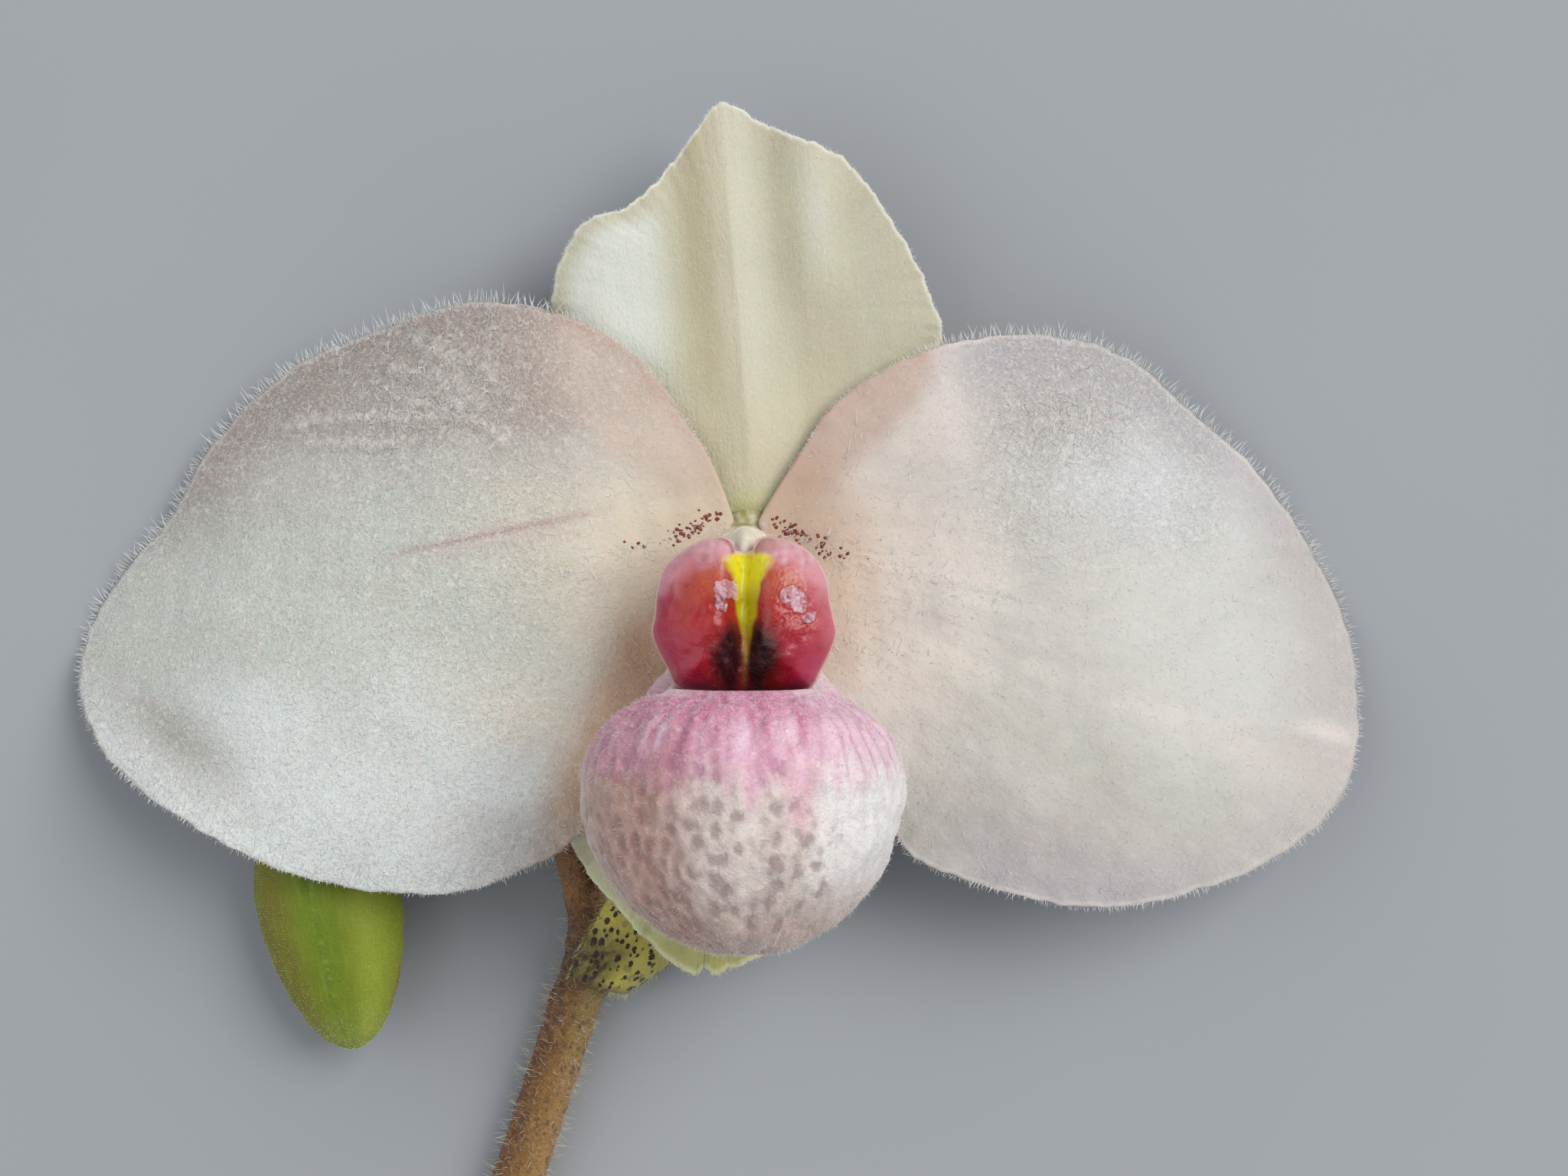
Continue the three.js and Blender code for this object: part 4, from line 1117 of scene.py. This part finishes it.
def make_lip():
    sides = 360
    angle = angles(sides)
    levels = np.linspace(-88.5, 90, 150)
    outer = lip_wall(levels, angle, 0.0)
    inner = lip_wall(levels[::-5], angle, LIP_WALL)
    flat = outer.reshape(-1, 3)
    level = np.repeat(levels, sides)
    right = degrees_right(np.tile(np.degrees(angle), len(levels)))
    outward = unit(flat - (0.0, LIP_WIDEST_Y - 2, LIP_HEIGHT))
    low = smooth(-5, -40, level)
    relief = 0.14 * lumps(flat, 4.5, 81) + 0.06 * lumps(flat, (1.1, 2.6, 1.1), 82) + 0.05 * lumps(flat, 1.7, 79)
    relief -= 0.2 * bump(right, 3, 5.0) * low + 0.16 * bump(right, 26, 5) * low + 0.13 * bump(right, -20, 4) * low
    marks = lip_marks(flat, right, flat[:, 1])
    relief -= 0.13 * marks * smooth(85, 60, level)
    relief -= 0.2 * bump(right, -24, 4) * smooth(-20, 20, level) + 0.15 * bump(right, 5, 3) * smooth(-10, 20, level)
    pleats = np.sin(np.radians(right) * 44 + 2.2 * lumps(flat, 5.0, 83))
    relief += 0.06 * pleats * smooth(12, 55, level) + 0.05 * lumps(flat, 0.8, 80) * smooth(30, 60, level)
    relief *= smooth(90, 84, level) * 0.8 + 0.2
    outer = (flat + outward * relief[:, None]).reshape(outer.shape)
    over_rim = []
    for t in (0.2, 0.4, 0.6, 0.8):
        row = outer[-1] * (1 - t) + inner[0] * t
        row[:, 1] += RIM_LIP * math.sin(math.pi * t)
        over_rim.append(row)
    rows = np.concatenate([outer, np.stack(over_rim), inner])
    points = np.vstack([rows.reshape(-1, 3), (0.0, LIP_BOTTOM_Y, LIP_HEIGHT),
                        (0.0, LIP_BOTTOM_Y + LIP_WALL, LIP_HEIGHT)])
    is_inside = np.arange(len(points)) >= (len(levels) + 2) * sides  # from the middle of the rim inwards
    is_inside[-2] = False
    right = degrees_right(np.degrees(np.arctan2(points[:, 2] - LIP_HEIGHT, points[:, 0])))
    y = points[:, 1]
    more = len(points) - len(level)
    fields = {
        "tint": blend(lip_tint(points, right, np.pad(level, (0, more), constant_values=90.0)), srgb(226, 206, 200),
                      0.85 * is_inside),
        "spot_tint": painted((130, 102, 102), (134, 88, 82, smooth(-20, -34, right)),
                             (168, 96, 132, smooth(-19.5, -16.5, y))),
        "spotted": np.pad(marks, (0, more)),
        "crinkled": 0.25 + 0.75 * smooth(-16.5, -13, y),
    }
    make_piece("lip_pouch", points, sleeve(len(rows), sides), LIP, "lip", fields, FLOWER)
    rng = np.random.default_rng(90)
    count = 6500
    pick = rng.integers(0, (len(levels) - 3) * sides, count)
    direction = outward[pick] + rng.normal(0, 0.45, (count, 3))
    hairs("lip_down", outer.reshape(-1, 3)[pick], direction, rng.uniform(0.2, 0.42, count), 0.013, (0, -0.1, -0.1),
          WHITE_HAIR, "lip", 91, FLOWER)


make_lip()


# ---- Staminode: two glossy cushions parted by a yellow groove ----
STAMINODE_OUTLINE = [
    (0.1, -1.35), (0.75, -1.15), (0.95, -0.6), (1.7, -0.22), (2.7, -0.3), (3.8, -0.6), (4.9, -1.25), (5.8, -2.2),
    (6.4, -3.5), (6.6, -5.0), (6.9, -6.4), (7.1, -7.5), (6.65, -8.9), (5.95, -10.3), (5.1, -11.6), (2.6, -12.0),
    (0.1, -11.9), (-2.5, -12.0), (-4.9, -11.6), (-5.7, -10.2), (-6.45, -8.8), (-6.9, -7.5), (-6.7, -6.2),
    (-6.5, -4.3), (-6.1, -2.8), (-5.1, -1.6), (-3.6, -0.7), (-2.5, -0.28), (-1.5, -0.2), (-0.75, -0.6),
    (-0.55, -1.15),
]
STAMINODE_CENTRE = np.array((0.1, -6.6))
STAMINODE_BACK, STAMINODE_EDGE, STAMINODE_BULGE = 18.6, 0.9, 3.7
# The crumpled patches on the cushions that carry painted reflections: x, y, half length, half width, heading in
# degrees
GLINT_PATCHES = [(-1.15, -4.25, 0.8, 0.72, 10), (-1.55, -5.3, 0.4, 0.5, 0), (3.95, -4.9, 1.05, 0.68, -42),
          (4.95, -6.3, 0.5, 0.32, 20)]


def ear_fold(off, y):
    """Distance from the middle of an ear at the staminode's top, and 1 where its inner edge is folded over."""
    return np.hypot(off - 1.95, y + 1.45), smooth(2.2, 1.7, off) * smooth(-1.75, -1.35, y)


def staminode_tint(x, y, reach):
    """Crimson, paler on top and at its rim, with two dark patches, a yellow stripe and two folded ears."""
    flat = columns(x, y)
    wander = lumps(flat, 1.5, 93)
    side = x - STAMINODE_CENTRE[0]
    off = np.abs(side)
    rim = smooth(0.66, 0.94, reach + 0.05 * wander)
    fleck, upper = lumps(flat, 0.9, 104), smooth(-3.4, -2.0, y + 0.3 * wander - 0.1 * off)
    dark = bump(side, -1.45, 1.35) * bump(y, -9.5, 2.1) + bump(side, 1.6, 1.35) * bump(y, -9.1, 2.3)
    dark = dark + 0.6 * bump(off, 0.9, 0.6) * smooth(-5.4, -7.8, y) + 0.05 * wander
    middle = 0.36 + 0.03 * (y + 1.3)
    half = np.interp(y, [-12, -9.4, -8.0, -7.0, -6.1, -4.8, -3.7, -3.0, -2.5, -2.0, -1.6, -1.3],
                     [0.1, 0.18, 0.3, 0.46, 0.68, 0.84, 0.98, 1.15, 1.4, 1.65, 1.4, 0.2])
    soft = 1 + 2.8 * smooth(-3.8, -2.2, y)
    stripe = smooth(0.18, -0.16, (np.abs(side - middle) - half + 0.05 * wander) / soft)
    yellow = painted((224, 216, 36), (190, 181, 16, smooth(-3.0, -5.2, y)), (176, 132, 40, smooth(-6.4, -8.4, y)),
                     (120, 74, 40, smooth(-8.4, -10.4, y)))
    crinkled = bump(lumps(flat, 0.7, 100), 0.0, 0.2) * bump(side, 4.0, 1.7) * bump(y, -5.0, 2.4)
    ear, at_ear = ear_fold(off, y)
    shaded = smooth(1.3, 0.9, ear) * smooth(0.3, 0.8, side) * smooth(2.9, 2.2, side) * smooth(-1.7, -1.2, y)
    return painted(
        (160, 28, 26),
        (176, 78, 50, 0.9 * bump(off, 2.7, 2.0) * smooth(-6.0, -3.2, y + 0.4 * wander)),
        (160, 20, 52, 0.9 * smooth(1.8, 3.6, off) * smooth(-6.0, -8.6, y)),
        (166, 46, 78, 0.85 * rim * smooth(1.0, -1.0, side)),
        (190, 98, 112, 0.85 * rim * smooth(-1.0, 1.0, side) * smooth(-9.5, -7.5, y)),
        (176, 62, 94, 0.8 * smooth(3.4, 5.2, side) * smooth(-8.0, -9.6, y)),
        (192, 112, 120, 0.7 * smooth(-4.2, -1.6, y + 0.4 * wander - 0.16 * off) * smooth(2, 4, off)),
        (210, 165, 172, 0.95 * smooth(-3.1, -1.2, y + 0.4 * wander - 0.1 * off)),
        (214, 158, 168, 0.75 * smooth(0.66, 0.9, reach) * smooth(-5.4, -3.2, y + 0.3 * wander)),
        (220, 194, 202, 0.32 * upper * smooth(0.0, 0.9, fleck)),
        (184, 122, 132, 0.34 * upper * smooth(0.0, -0.9, fleck)),
        (166, 92, 96, 0.5 * bump(x, -3.3, 1.7) * bump(y, -2.1, 1.0)),
        (112, 24, 32, 0.85 * smooth(0.0, 0.7, dark)),
        (44, 10, 16, 0.97 * smooth(0.35, 1.1, dark)),
        (yellow, stripe),
        # Painted highlights on the crinkles of the right cushion.
        (222, 140, 142, 0.6 * crinkled),
        (226, 184, 194, 0.7 * smooth(1.15, 1.35, ear) * at_ear),
        (150, 88, 98, 0.7 * bump(ear, 1.08, 0.13) * at_ear),
        (184, 132, 126, 0.85 * shaded),
        (232, 190, 184, 0.8 * smooth(0.968, 0.99, reach) * smooth(0.5, 1.0, off)),
    )


def make_staminode():
    spokes, rings = 360, 72
    edge = closed_curve(STAMINODE_OUTLINE, spokes)
    reach = np.concatenate([[0], np.repeat((np.arange(1, rings + 1) / rings) ** 0.8, spokes)])
    ray = np.vstack([edge[:1], np.tile(edge, (rings, 1))]) - STAMINODE_CENTRE
    flat = STAMINODE_CENTRE + ray * reach[:, None]
    x, y = flat.T
    side = x - STAMINODE_CENTRE[0]
    off = np.abs(side)
    dome = np.sqrt(np.maximum(0, 1 - reach**3))
    height = STAMINODE_BACK + STAMINODE_EDGE + STAMINODE_BULGE * dome * (1 - 0.55 * bump(side, 0, 1.1))
    # Where the crumpled patches lie; the material paints them pale as reflections.
    glint_patches = np.zeros(len(x))
    for patch_x, patch_y, long, wide, heading in GLINT_PATCHES:
        along, across = turned(x - patch_x, y - patch_y, heading)
        away = ((along / long) ** 4 + (across / wide) ** 4) ** 0.25 + 0.16 * lumps(flat, 0.8, 90)
        glint_patches = np.maximum(glint_patches, smooth(1.15, 0.9, away))
    height = height + 0.28 * np.abs(lumps(flat, 1.0, 91)) * glint_patches * dome
    height = height + 0.05 * lumps(flat, 2.2, 92) * dome + 0.02 * lumps(flat, 0.9, 94) * dome
    height = height - 0.55 * bump(off, 1.45, 0.9) * bump(y, -9.8, 1.7) * dome
    ear, at_ear = ear_fold(off, y)
    height = height + (0.3 * bump(ear, 1.42, 0.2) - 0.3 * bump(ear, 1.08, 0.16)) * at_ear
    height = height + 0.08 * bump(lumps(flat, 0.7, 100), 0.0, 0.3) * bump(side, 4.0, 1.7) * bump(y, -5.0, 2.4) * dome
    back = columns(*np.vstack([STAMINODE_CENTRE, edge]).T, np.full(spokes + 1, STAMINODE_BACK))
    half, rim = len(flat), 1 + (rings - 1) * spokes
    faces = disc(0, rings, spokes) + flipped(disc(half, 1, spokes)) + flipped(band(rim, half + 1, spokes))
    fields = {"tint": np.vstack([staminode_tint(x, y, reach), np.tile(srgb(190, 120, 120), (len(back), 1))]),
              "glint_patches": np.pad(glint_patches, (0, len(back)))}
    make_piece("staminode_shield", np.vstack([columns(x, y, height), back]), faces, STAMINODE,
               "staminode", fields, FLOWER)
    rng = np.random.default_rng(95)
    count = 900
    pick = rng.integers(0, spokes, count)
    root = columns(*edge[pick].T, np.full(count, STAMINODE_BACK + 0.55))
    out = columns(*(edge[pick] - STAMINODE_CENTRE).T, rng.uniform(0, 5, count))
    hairs("staminode_hairs", root, out, rng.uniform(0.12, 0.26, count), 0.011, (0, 0, 0), WHITE_HAIR, "staminode", 96,
          FLOWER)


make_staminode()


# ---- Column and anthers ----
COLUMN_X, COLUMN_Y = 0.1, -0.8
COLUMN_FOOT, PILLAR_HEIGHT = 7.95, 6.0
ANTHER_OUT, ANTHER_Y, ANTHER_HEIGHT = 2.7, -1.8, 15.8


def roughened(points, faces, relief):
    """points moved along their normals by relief."""
    return points + normals_of(points, faces) * relief[:, None]


def make_column():
    rings, sides = 30, 40
    t = np.linspace(0, 1, rings)
    centre = np.array((COLUMN_X, COLUMN_Y, COLUMN_FOOT))
    x, y = (np.outer(1.7 - 0.45 * t, around(angles(sides))).ravel() for around in (np.cos, np.sin))
    pillar = columns(COLUMN_X + x, COLUMN_Y + y, np.repeat(COLUMN_FOOT + PILLAR_HEIGHT * t, sides))
    pillar = np.vstack([pillar, centre, centre + (0, 0, PILLAR_HEIGHT)])
    foot = [(COLUMN_X, y, z) for y, z in ((-1.2, 8.0), (-0.9, 9.2), (-0.7, 10.6), (-0.6, 12.6))]
    foot_radii = np.interp(np.linspace(0, 1, 12), [0, 0.3, 0.55, 1], [2.7, 2.0, 1.6, 1.3])
    neck = [(COLUMN_X, y, z) for y, z in ((-0.8, 16.4), (-2.8, 16.4), (-5.0, 16.3))]
    points, faces = fuse([
        (pillar, sleeve(rings, sides)),
        tube(open_curve(foot, 12), foot_radii, sides),
        ellipsoid((2.9, 1.6, 1.05), (COLUMN_X, -0.75, 9.8)),  # the saddle that the petals start from
        ellipsoid((2.2, 1.4, 0.5), (0.2, 0.75, 9.4)),
        ellipsoid((1.35, 2.25, 7.2), (COLUMN_X, -1.65, 12.3), 30, 32),  # its rounded top
        tube(open_curve(neck, 16), np.full(16, 0.95), 24),
        ellipsoid((2.4, 2.1, 1.05), (COLUMN_X, -6.0, 16.2)),  # the stigma
    ], 0.16, 8)
    points = roughened(points, faces, 0.05 * lumps(points, 1.2, 97))
    _, y, z = points.T
    tint = painted(
        (229, 223, 207),
        (226, 212, 192, smooth(12.5, 10.0, z)),
        (146, 140, 78, smooth(0.6, 0.95, y) * smooth(12.5, 11, z)),
    )
    make_piece("column_body", points, faces, COLUMN, "column", {"tint": tint}, FLOWER)
    for name, side in (("anther_left", -1), ("anther_right", 1)):
        middle = (COLUMN_X + side * ANTHER_OUT, ANTHER_Y, ANTHER_HEIGHT)
        points, faces = ellipsoid((1.0, 1.3, 1.2), middle, 28, 40)
        cleft = bump(points[:, 1], ANTHER_Y, 0.35)
        points = roughened(points, faces, 0.05 * lumps(points, 0.9, 98) - 0.12 * cleft)
        tint = painted((196, 170, 92), (160, 124, 58, cleft))
        make_piece(name + "_body", points, faces, ANTHER, name, {"tint": tint}, FLOWER)


make_column()


# ---- Stem, ovaries, bracts and bud: measured from the node ----
STEM_LENGTH, STEM_LEAN, STEM_RADIUS, STEM_AXIS = 130.0, math.radians(18), 2.0, 1.9
STEM_UP, STEM_SIDE = axes(STEM_LEAN)
STEM_HEADING = -STEM_UP
STEM_OVERRUN = 2.0
NODE_RADII = (2.35, 2.35 * 1.15, 2.35 * 0.82)
RACHIS_RADIUS = 1.35
STALK_RADIUS, OVARY_RADIUS, BUD_OVARY_RADIUS = 1.4, 2.3, 1.5


def make_scape():
    t = np.linspace(0, 1, 100)
    along = STEM_LENGTH * (1 - t) - STEM_OVERRUN * t
    stem = tube(np.outer(along, STEM_HEADING) + (0, 0, STEM_AXIS), STEM_RADIUS + 0.05 + 0.15 * (1 - t), 40)
    stem[0][:, 2] = np.maximum(stem[0][:, 2], 0.0)
    t = np.linspace(0, 1, 40)
    route = open_curve([(0, 0, 2), (-1.8, 8.1, 2.1), (-3.1, 15, 2.2), (-4.2, 21.7, 2.4)], 40)
    rachis = tube(route, RACHIS_RADIUS + 0.55 * np.maximum(0, 1 - 6 * t) + 0.25 * np.maximum(0, 6 * t - 5), 28)
    stub_radii = STEM_RADIUS + (STALK_RADIUS - STEM_RADIUS) * np.linspace(0, 1, 16)
    stub = tube(open_curve([(0, 0, 2.2), (0.9, 2.4, 2.4), (1.9, 5.1, 2.5)], 16), stub_radii, 28)
    points, faces = fuse([stem, ellipsoid(NODE_RADII, (0, 0.1, NODE_RADII[2])), rachis, stub], 0.3, 4)
    relief = 0.07 * lumps(points, (1.5, 3.5, 1.5), 101) + 0.04 * lumps(points, 0.9, 102)
    points = roughened(points, faces, relief * smooth(0.1, 0.8, points[:, 2]))
    points[:, 2] = np.maximum(points[:, 2], 0.0)
    down = points @ STEM_HEADING
    across = points @ STEM_SIDE / STEM_RADIUS
    tint = painted(
        (130, 90, 32),
        # Dark reddish brown along one side and lighter along the other: partly its own colour, partly painted shade
        # and light across the stem.
        (94, 44, 20, 0.9 * smooth(0.15, -0.7, across)),
        (162, 122, 74, 0.85 * smooth(0.1, 0.8, across)),
        (146, 130, 76, 0.7 * smooth(12, 4, down) * smooth(-0.2, 0.6, across) * smooth(-2, 0, down)),
        (64, 40, 28, 0.9 * bump(down, 1.0, 2.4) * smooth(1.0, 0.0, across)),
        (168, 116, 76, 0.8 * smooth(2.5, 5.0, points[:, 1])),
        (196, 196, 132, smooth(0.35, 0.1, STEM_LENGTH - down)),
    )
    make_piece("scape_stem", points, faces, STEM, "scape", {"tint": tint})

    def lower(p):
        return (p @ STEM_HEADING < STEM_LENGTH - 1.0) & (p[:, 1] < 3.0)

    skin_hairs("stem_hairs", points, faces, 3000, 1.45, 0.026, STEM_HAIR, "stem", 103, lower, rings=LONG_HAIR)
    skin_hairs("stem_fuzz", points, faces, 6000, 0.6, 0.018, STEM_HAIR, "stem", 104, lower,
               STEM_HEADING * -0.5, 0.75, curl=0.6)
    skin_hairs("rachis_hairs", points, faces, 900, 0.9, 0.018, STEM_HAIR, "stem", 105, lambda p: p[:, 1] > 3.0)


def make_ovary(name, route, swell, seed):
    t = np.linspace(0, 1, 70)
    points, faces = tube(open_curve(route, 70), swell(t), 36, lambda a: 1 + 0.05 * np.cos(3 * a))
    points = roughened(points, faces, 0.05 * lumps(points, 1.4, seed))
    tint = painted((134, 124, 66), (150, 150, 92, 0.5 + 0.5 * lumps(points, 6.0, seed)))
    make_piece(name + "_skin", points, faces, OVARY, name, {"tint": tint})
    skin_hairs(name + "_hairs", points, faces, 500, 0.8, 0.018, STEM_HAIR, "ovary", seed + 1)


def make_bract(name, foot, heading, length, half_width, arch, start, end, seed):
    """A blade that starts at its foot, arched over its heading from one angle to the other."""
    steps, across = 64, 52
    along, side = axes(heading)
    t = np.linspace(0, 1, steps + 1)[:, None]
    opened = np.sin(np.minimum(1, t * 2.6) * np.pi / 2)
    width = half_width * (0.6 + 0.4 * opened)
    shift = width * 0.22 * np.sin(t * np.pi)
    angle = start + (end - start) * np.linspace(0, 1, across + 1)[None, :]
    angle = angle + (np.pi / 2 - angle) * 0.85 * t**3
    sides = []
    for inset in (0.1, 0.6):
        out = shift + (width - inset) * np.cos(angle)
        flat = np.array((*foot, 0.0)) + (length * t)[..., None] * along + out[..., None] * side
        flat[..., 2] = 1.2 + (arch - inset) * np.sin(angle) * (0.82 + 0.18 * opened)
        sides.append(flat.reshape(-1, 3))
    count = across + 1
    half = len(sides[0])
    ribs = 0.05 * np.sin(np.tile(np.linspace(0, 1, count) * 60, steps + 1)) + 0.08 * lumps(sides[0], 2.2, seed)
    points = np.vstack([s + np.array((0, 0, 1.0)) * ribs[:, None] * 0.6 for s in sides])
    face = [f for s in range(steps) for f in band(s * count, (s + 1) * count, count, False)]
    border = list(range(across)) + [s * count + across for s in range(steps)]
    border += [steps * count + i for i in range(across, 0, -1)] + [s * count for s in range(steps, 0, -1)]
    faces = flipped(face) + [[half + i for i in f] for f in face]
    faces += [(a, b, b + half, a + half) for a, b in zip(border, border[1:] + border[:1])]
    share_across = np.tile(np.linspace(0, 1, count), 2 * (steps + 1))
    share_along = np.tile(np.repeat(t.ravel(), count), 2)
    mottle = 0.75 + 0.25 * smooth(-0.3, 0.3, lumps(points, 0.5, seed + 5))
    dark = mottle * smooth(0.28, 0.12, share_along) * smooth(0.46, 0.72, share_across)
    tint = painted(
        (190, 178, 80),
        (146, 152, 54, 0.7 * smooth(0.3, 0.55, share_along)),
        (176, 178, 112, 0.6 * smooth(0.3, 0.0, share_across) * smooth(0.3, 0.1, share_along)),
        (52, 30, 16, 0.98 * dark),
        (104, 76, 40, 0.85 * smooth(0.035, 0.0, share_along)),
    )
    make_piece(name + "_blade", points, faces, BRACT, name, {"tint": tint})
    rng = np.random.default_rng(seed + 1)
    hair_count = 520
    open_border = border[: across // 2] + border[across : 2 * across + 2 * steps]  # all but the left of its foot
    pick = rng.choice(np.array(open_border), hair_count)
    out = points[pick] - points[:half].mean(axis=0) + (0, 0, 1.0)
    hairs(name + "_hairs", points[pick], out + rng.normal(0, 1.2, out.shape), rng.uniform(0.35, 0.85, hair_count),
          0.018, (0, 0, -0.1), GREEN_HAIR, "bract", seed + 2)
    skin_hairs(name + "_fuzz", points[:half], flipped(face), 700, 0.4, 0.014, GREEN_HAIR, "bract", seed + 3)


BUD_LENGTH, BUD_HALF_WIDTH, BUD_DEPTH_RATIO = 23.2, 5.8, 0.72
BUD_BASE = np.array((-23.1, 15.1, 4.45))
BUD_HEADING = math.radians(-10)
BUD_PROFILE = ([0, 0.1, 0.2, 0.3, 0.42, 0.56, 0.68, 0.79, 0.89, 0.96, 1],
               [0.26, 0.55, 0.78, 0.91, 1, 0.97, 0.88, 0.75, 0.56, 0.36, 0.1])
BUD_SEAM = math.radians(97)


def make_bud():
    rings, sides = 120, 110
    t = 1 - (1 - np.linspace(0, 1, rings)) ** 1.25
    width = np.interp(np.linspace(0, 1, 400), *BUD_PROFILE)
    kernel = np.hanning(21) / np.hanning(21).sum()
    width = np.convolve(np.pad(width, 10, mode="edge"), kernel, mode="valid")
    width = np.interp(t, np.linspace(0, 1, 400), width)
    width = np.minimum(width, 1.9 * np.sqrt(np.maximum(0.0004, 1 - t)))
    angle = angles(sides)
    up, side = axes(BUD_HEADING)
    groove = 0.03 * bump(angle, BUD_SEAM, 0.05) - 0.015 * bump(angle, BUD_SEAM + 0.1, 0.06)
    keel = 0.03 * (bump(angle, 0, 0.22) + bump(angle, np.pi, 0.22) + bump(angle, 2 * np.pi, 0.22))
    reach = BUD_HALF_WIDTH * width[:, None] * (1 + keel - groove)[None, :]
    points = BUD_BASE - (BUD_LENGTH * t)[:, None, None] * up
    points = points + (reach * np.cos(angle))[..., None] * side
    points[..., 2] += reach * BUD_DEPTH_RATIO * np.sin(angle)
    grid = points.reshape(-1, 3)
    grid[:, 2] += 0.05 * lumps(grid, 3.0, 111)
    points = np.vstack([grid, BUD_BASE, BUD_BASE - up * BUD_LENGTH])
    off = np.append(np.tile(angle - BUD_SEAM, rings), (0, 0))
    down = np.append(np.repeat(t, sides), (0, 1))
    fleck = lumps(points, 0.6, 112)
    tint = painted(
        (108, 124, 14),
        (114, 108, 24, 0.9 * smooth(0.15, 0.6, off)),
        # Lighter lime right of the seam: partly its own colour, partly painted light.
        (150, 162, 50, 0.85 * smooth(-0.25, -0.8, off)),
        (98, 124, 8, 0.6 * smooth(-0.45, -0.05, off) * smooth(0.25, 0.0, off)),
        (148, 162, 84, 0.35 * smooth(0.75, 1.0, down)),
        (84, 104, 32, 0.75 * bump(off, 0.0, 0.03) * smooth(-0.8, 0.4, fleck)),
        (156, 164, 82, 0.5 * bump(off, -0.05, 0.03) * smooth(0.2, 0.9, fleck)),
        (140, 72, 30, 0.8 * bump(off, -1.66, 0.16) * bump(down, 0.8, 0.07)),
    )
    faces = flipped(sleeve(rings, sides))
    make_piece("bud_body", points, faces, BUD, "bud", {"tint": tint})
    skin_hairs("bud_hairs", points, faces, 4600, 0.7, 0.021, GREEN_HAIR, "bud", 113)


make_scape()
make_ovary("ovary_flower",
           [(2.0, 5.4, 2.5), (5.1, 13.4, 2.55), (8.5, 22.2, 2.6), (10.9, 28.3, 2.7), (12.2, 31.8, 4.0),
            (12.7, 32.9, 7.0)],
           lambda t: STALK_RADIUS + (OVARY_RADIUS - STALK_RADIUS) * np.sin(np.minimum(1, t * 1.7) * np.pi / 2)
           - 0.6 * t**6, 121)
make_ovary("ovary_bud",
           [(-4.4, 22.3, 2.5), (-6.4, 27.6, 3.2), (-12.0, 31.0, 4.2), (-19.0, 28.0, 4.6), (-22.6, 21.5, 4.6),
            (-23.2, 15.8, 4.5)],
           lambda t: BUD_OVARY_RADIUS * (0.85 + 0.3 * t), 123)
make_bract("bract_flower", foot=(-0.5, -2.2), heading=0.39, length=21, half_width=6.6, arch=5.5, start=0.2, end=1.9,
           seed=131)
make_bract("bract_bud", foot=(-4.2, 20.9), heading=-0.35, length=9, half_width=4.4, arch=4.8, start=0.1, end=2.6,
           seed=135)
make_bud()


# ---- Floor and light ----
FLOOR_REACH = 4.0  # metres from the part's origin


def make_floor():
    mesh = bpy.data.meshes.new("floor")
    corners = [(x * FLOOR_REACH, y * FLOOR_REACH, 0) for x, y in ((-1, -1), (1, -1), (1, 1), (-1, 1))]
    mesh.from_pydata(corners, [], [(0, 1, 2, 3)])
    m = Material("floor_matte", 0.9, base=(152, 156, 161))
    m.veil(m.noise(60.0, 2.0), 0.3, 0.7, 1.0, (154, 158, 163))
    mesh.materials.append(m.finish())
    floor = add_object("floor", mesh)


def make_light(name, place, size, power, colour):
    """A soft square lamp aimed at the flower."""
    data = bpy.data.lights.new(name, "AREA")
    data.size = size
    data.energy = power
    data.color = colour
    lamp = add_object(name, data)
    target = Vector(FLOWER * MM)
    lamp.location = target + Vector(place)
    lamp.rotation_euler = (target - lamp.location).to_track_quat("-Z", "Y").to_euler()


make_floor()
make_light("key_light", place=(0.84, 0.5, 1.05), size=0.95, power=17.0, colour=(1.0, 0.98, 0.95))
make_light("fill_light", place=(-1.0, -0.1, 0.9), size=1.4, power=6.0, colour=(0.94, 0.97, 1.0))
world = bpy.data.worlds.new("studio")
world.use_nodes = True
world.node_tree.nodes["Background"].inputs["Color"].default_value = (0.95, 0.97, 1.0, 1.0)
world.node_tree.nodes["Background"].inputs["Strength"].default_value = 0.45
bpy.context.scene.world = world
bpy.context.scene.view_settings.view_transform = "Standard"
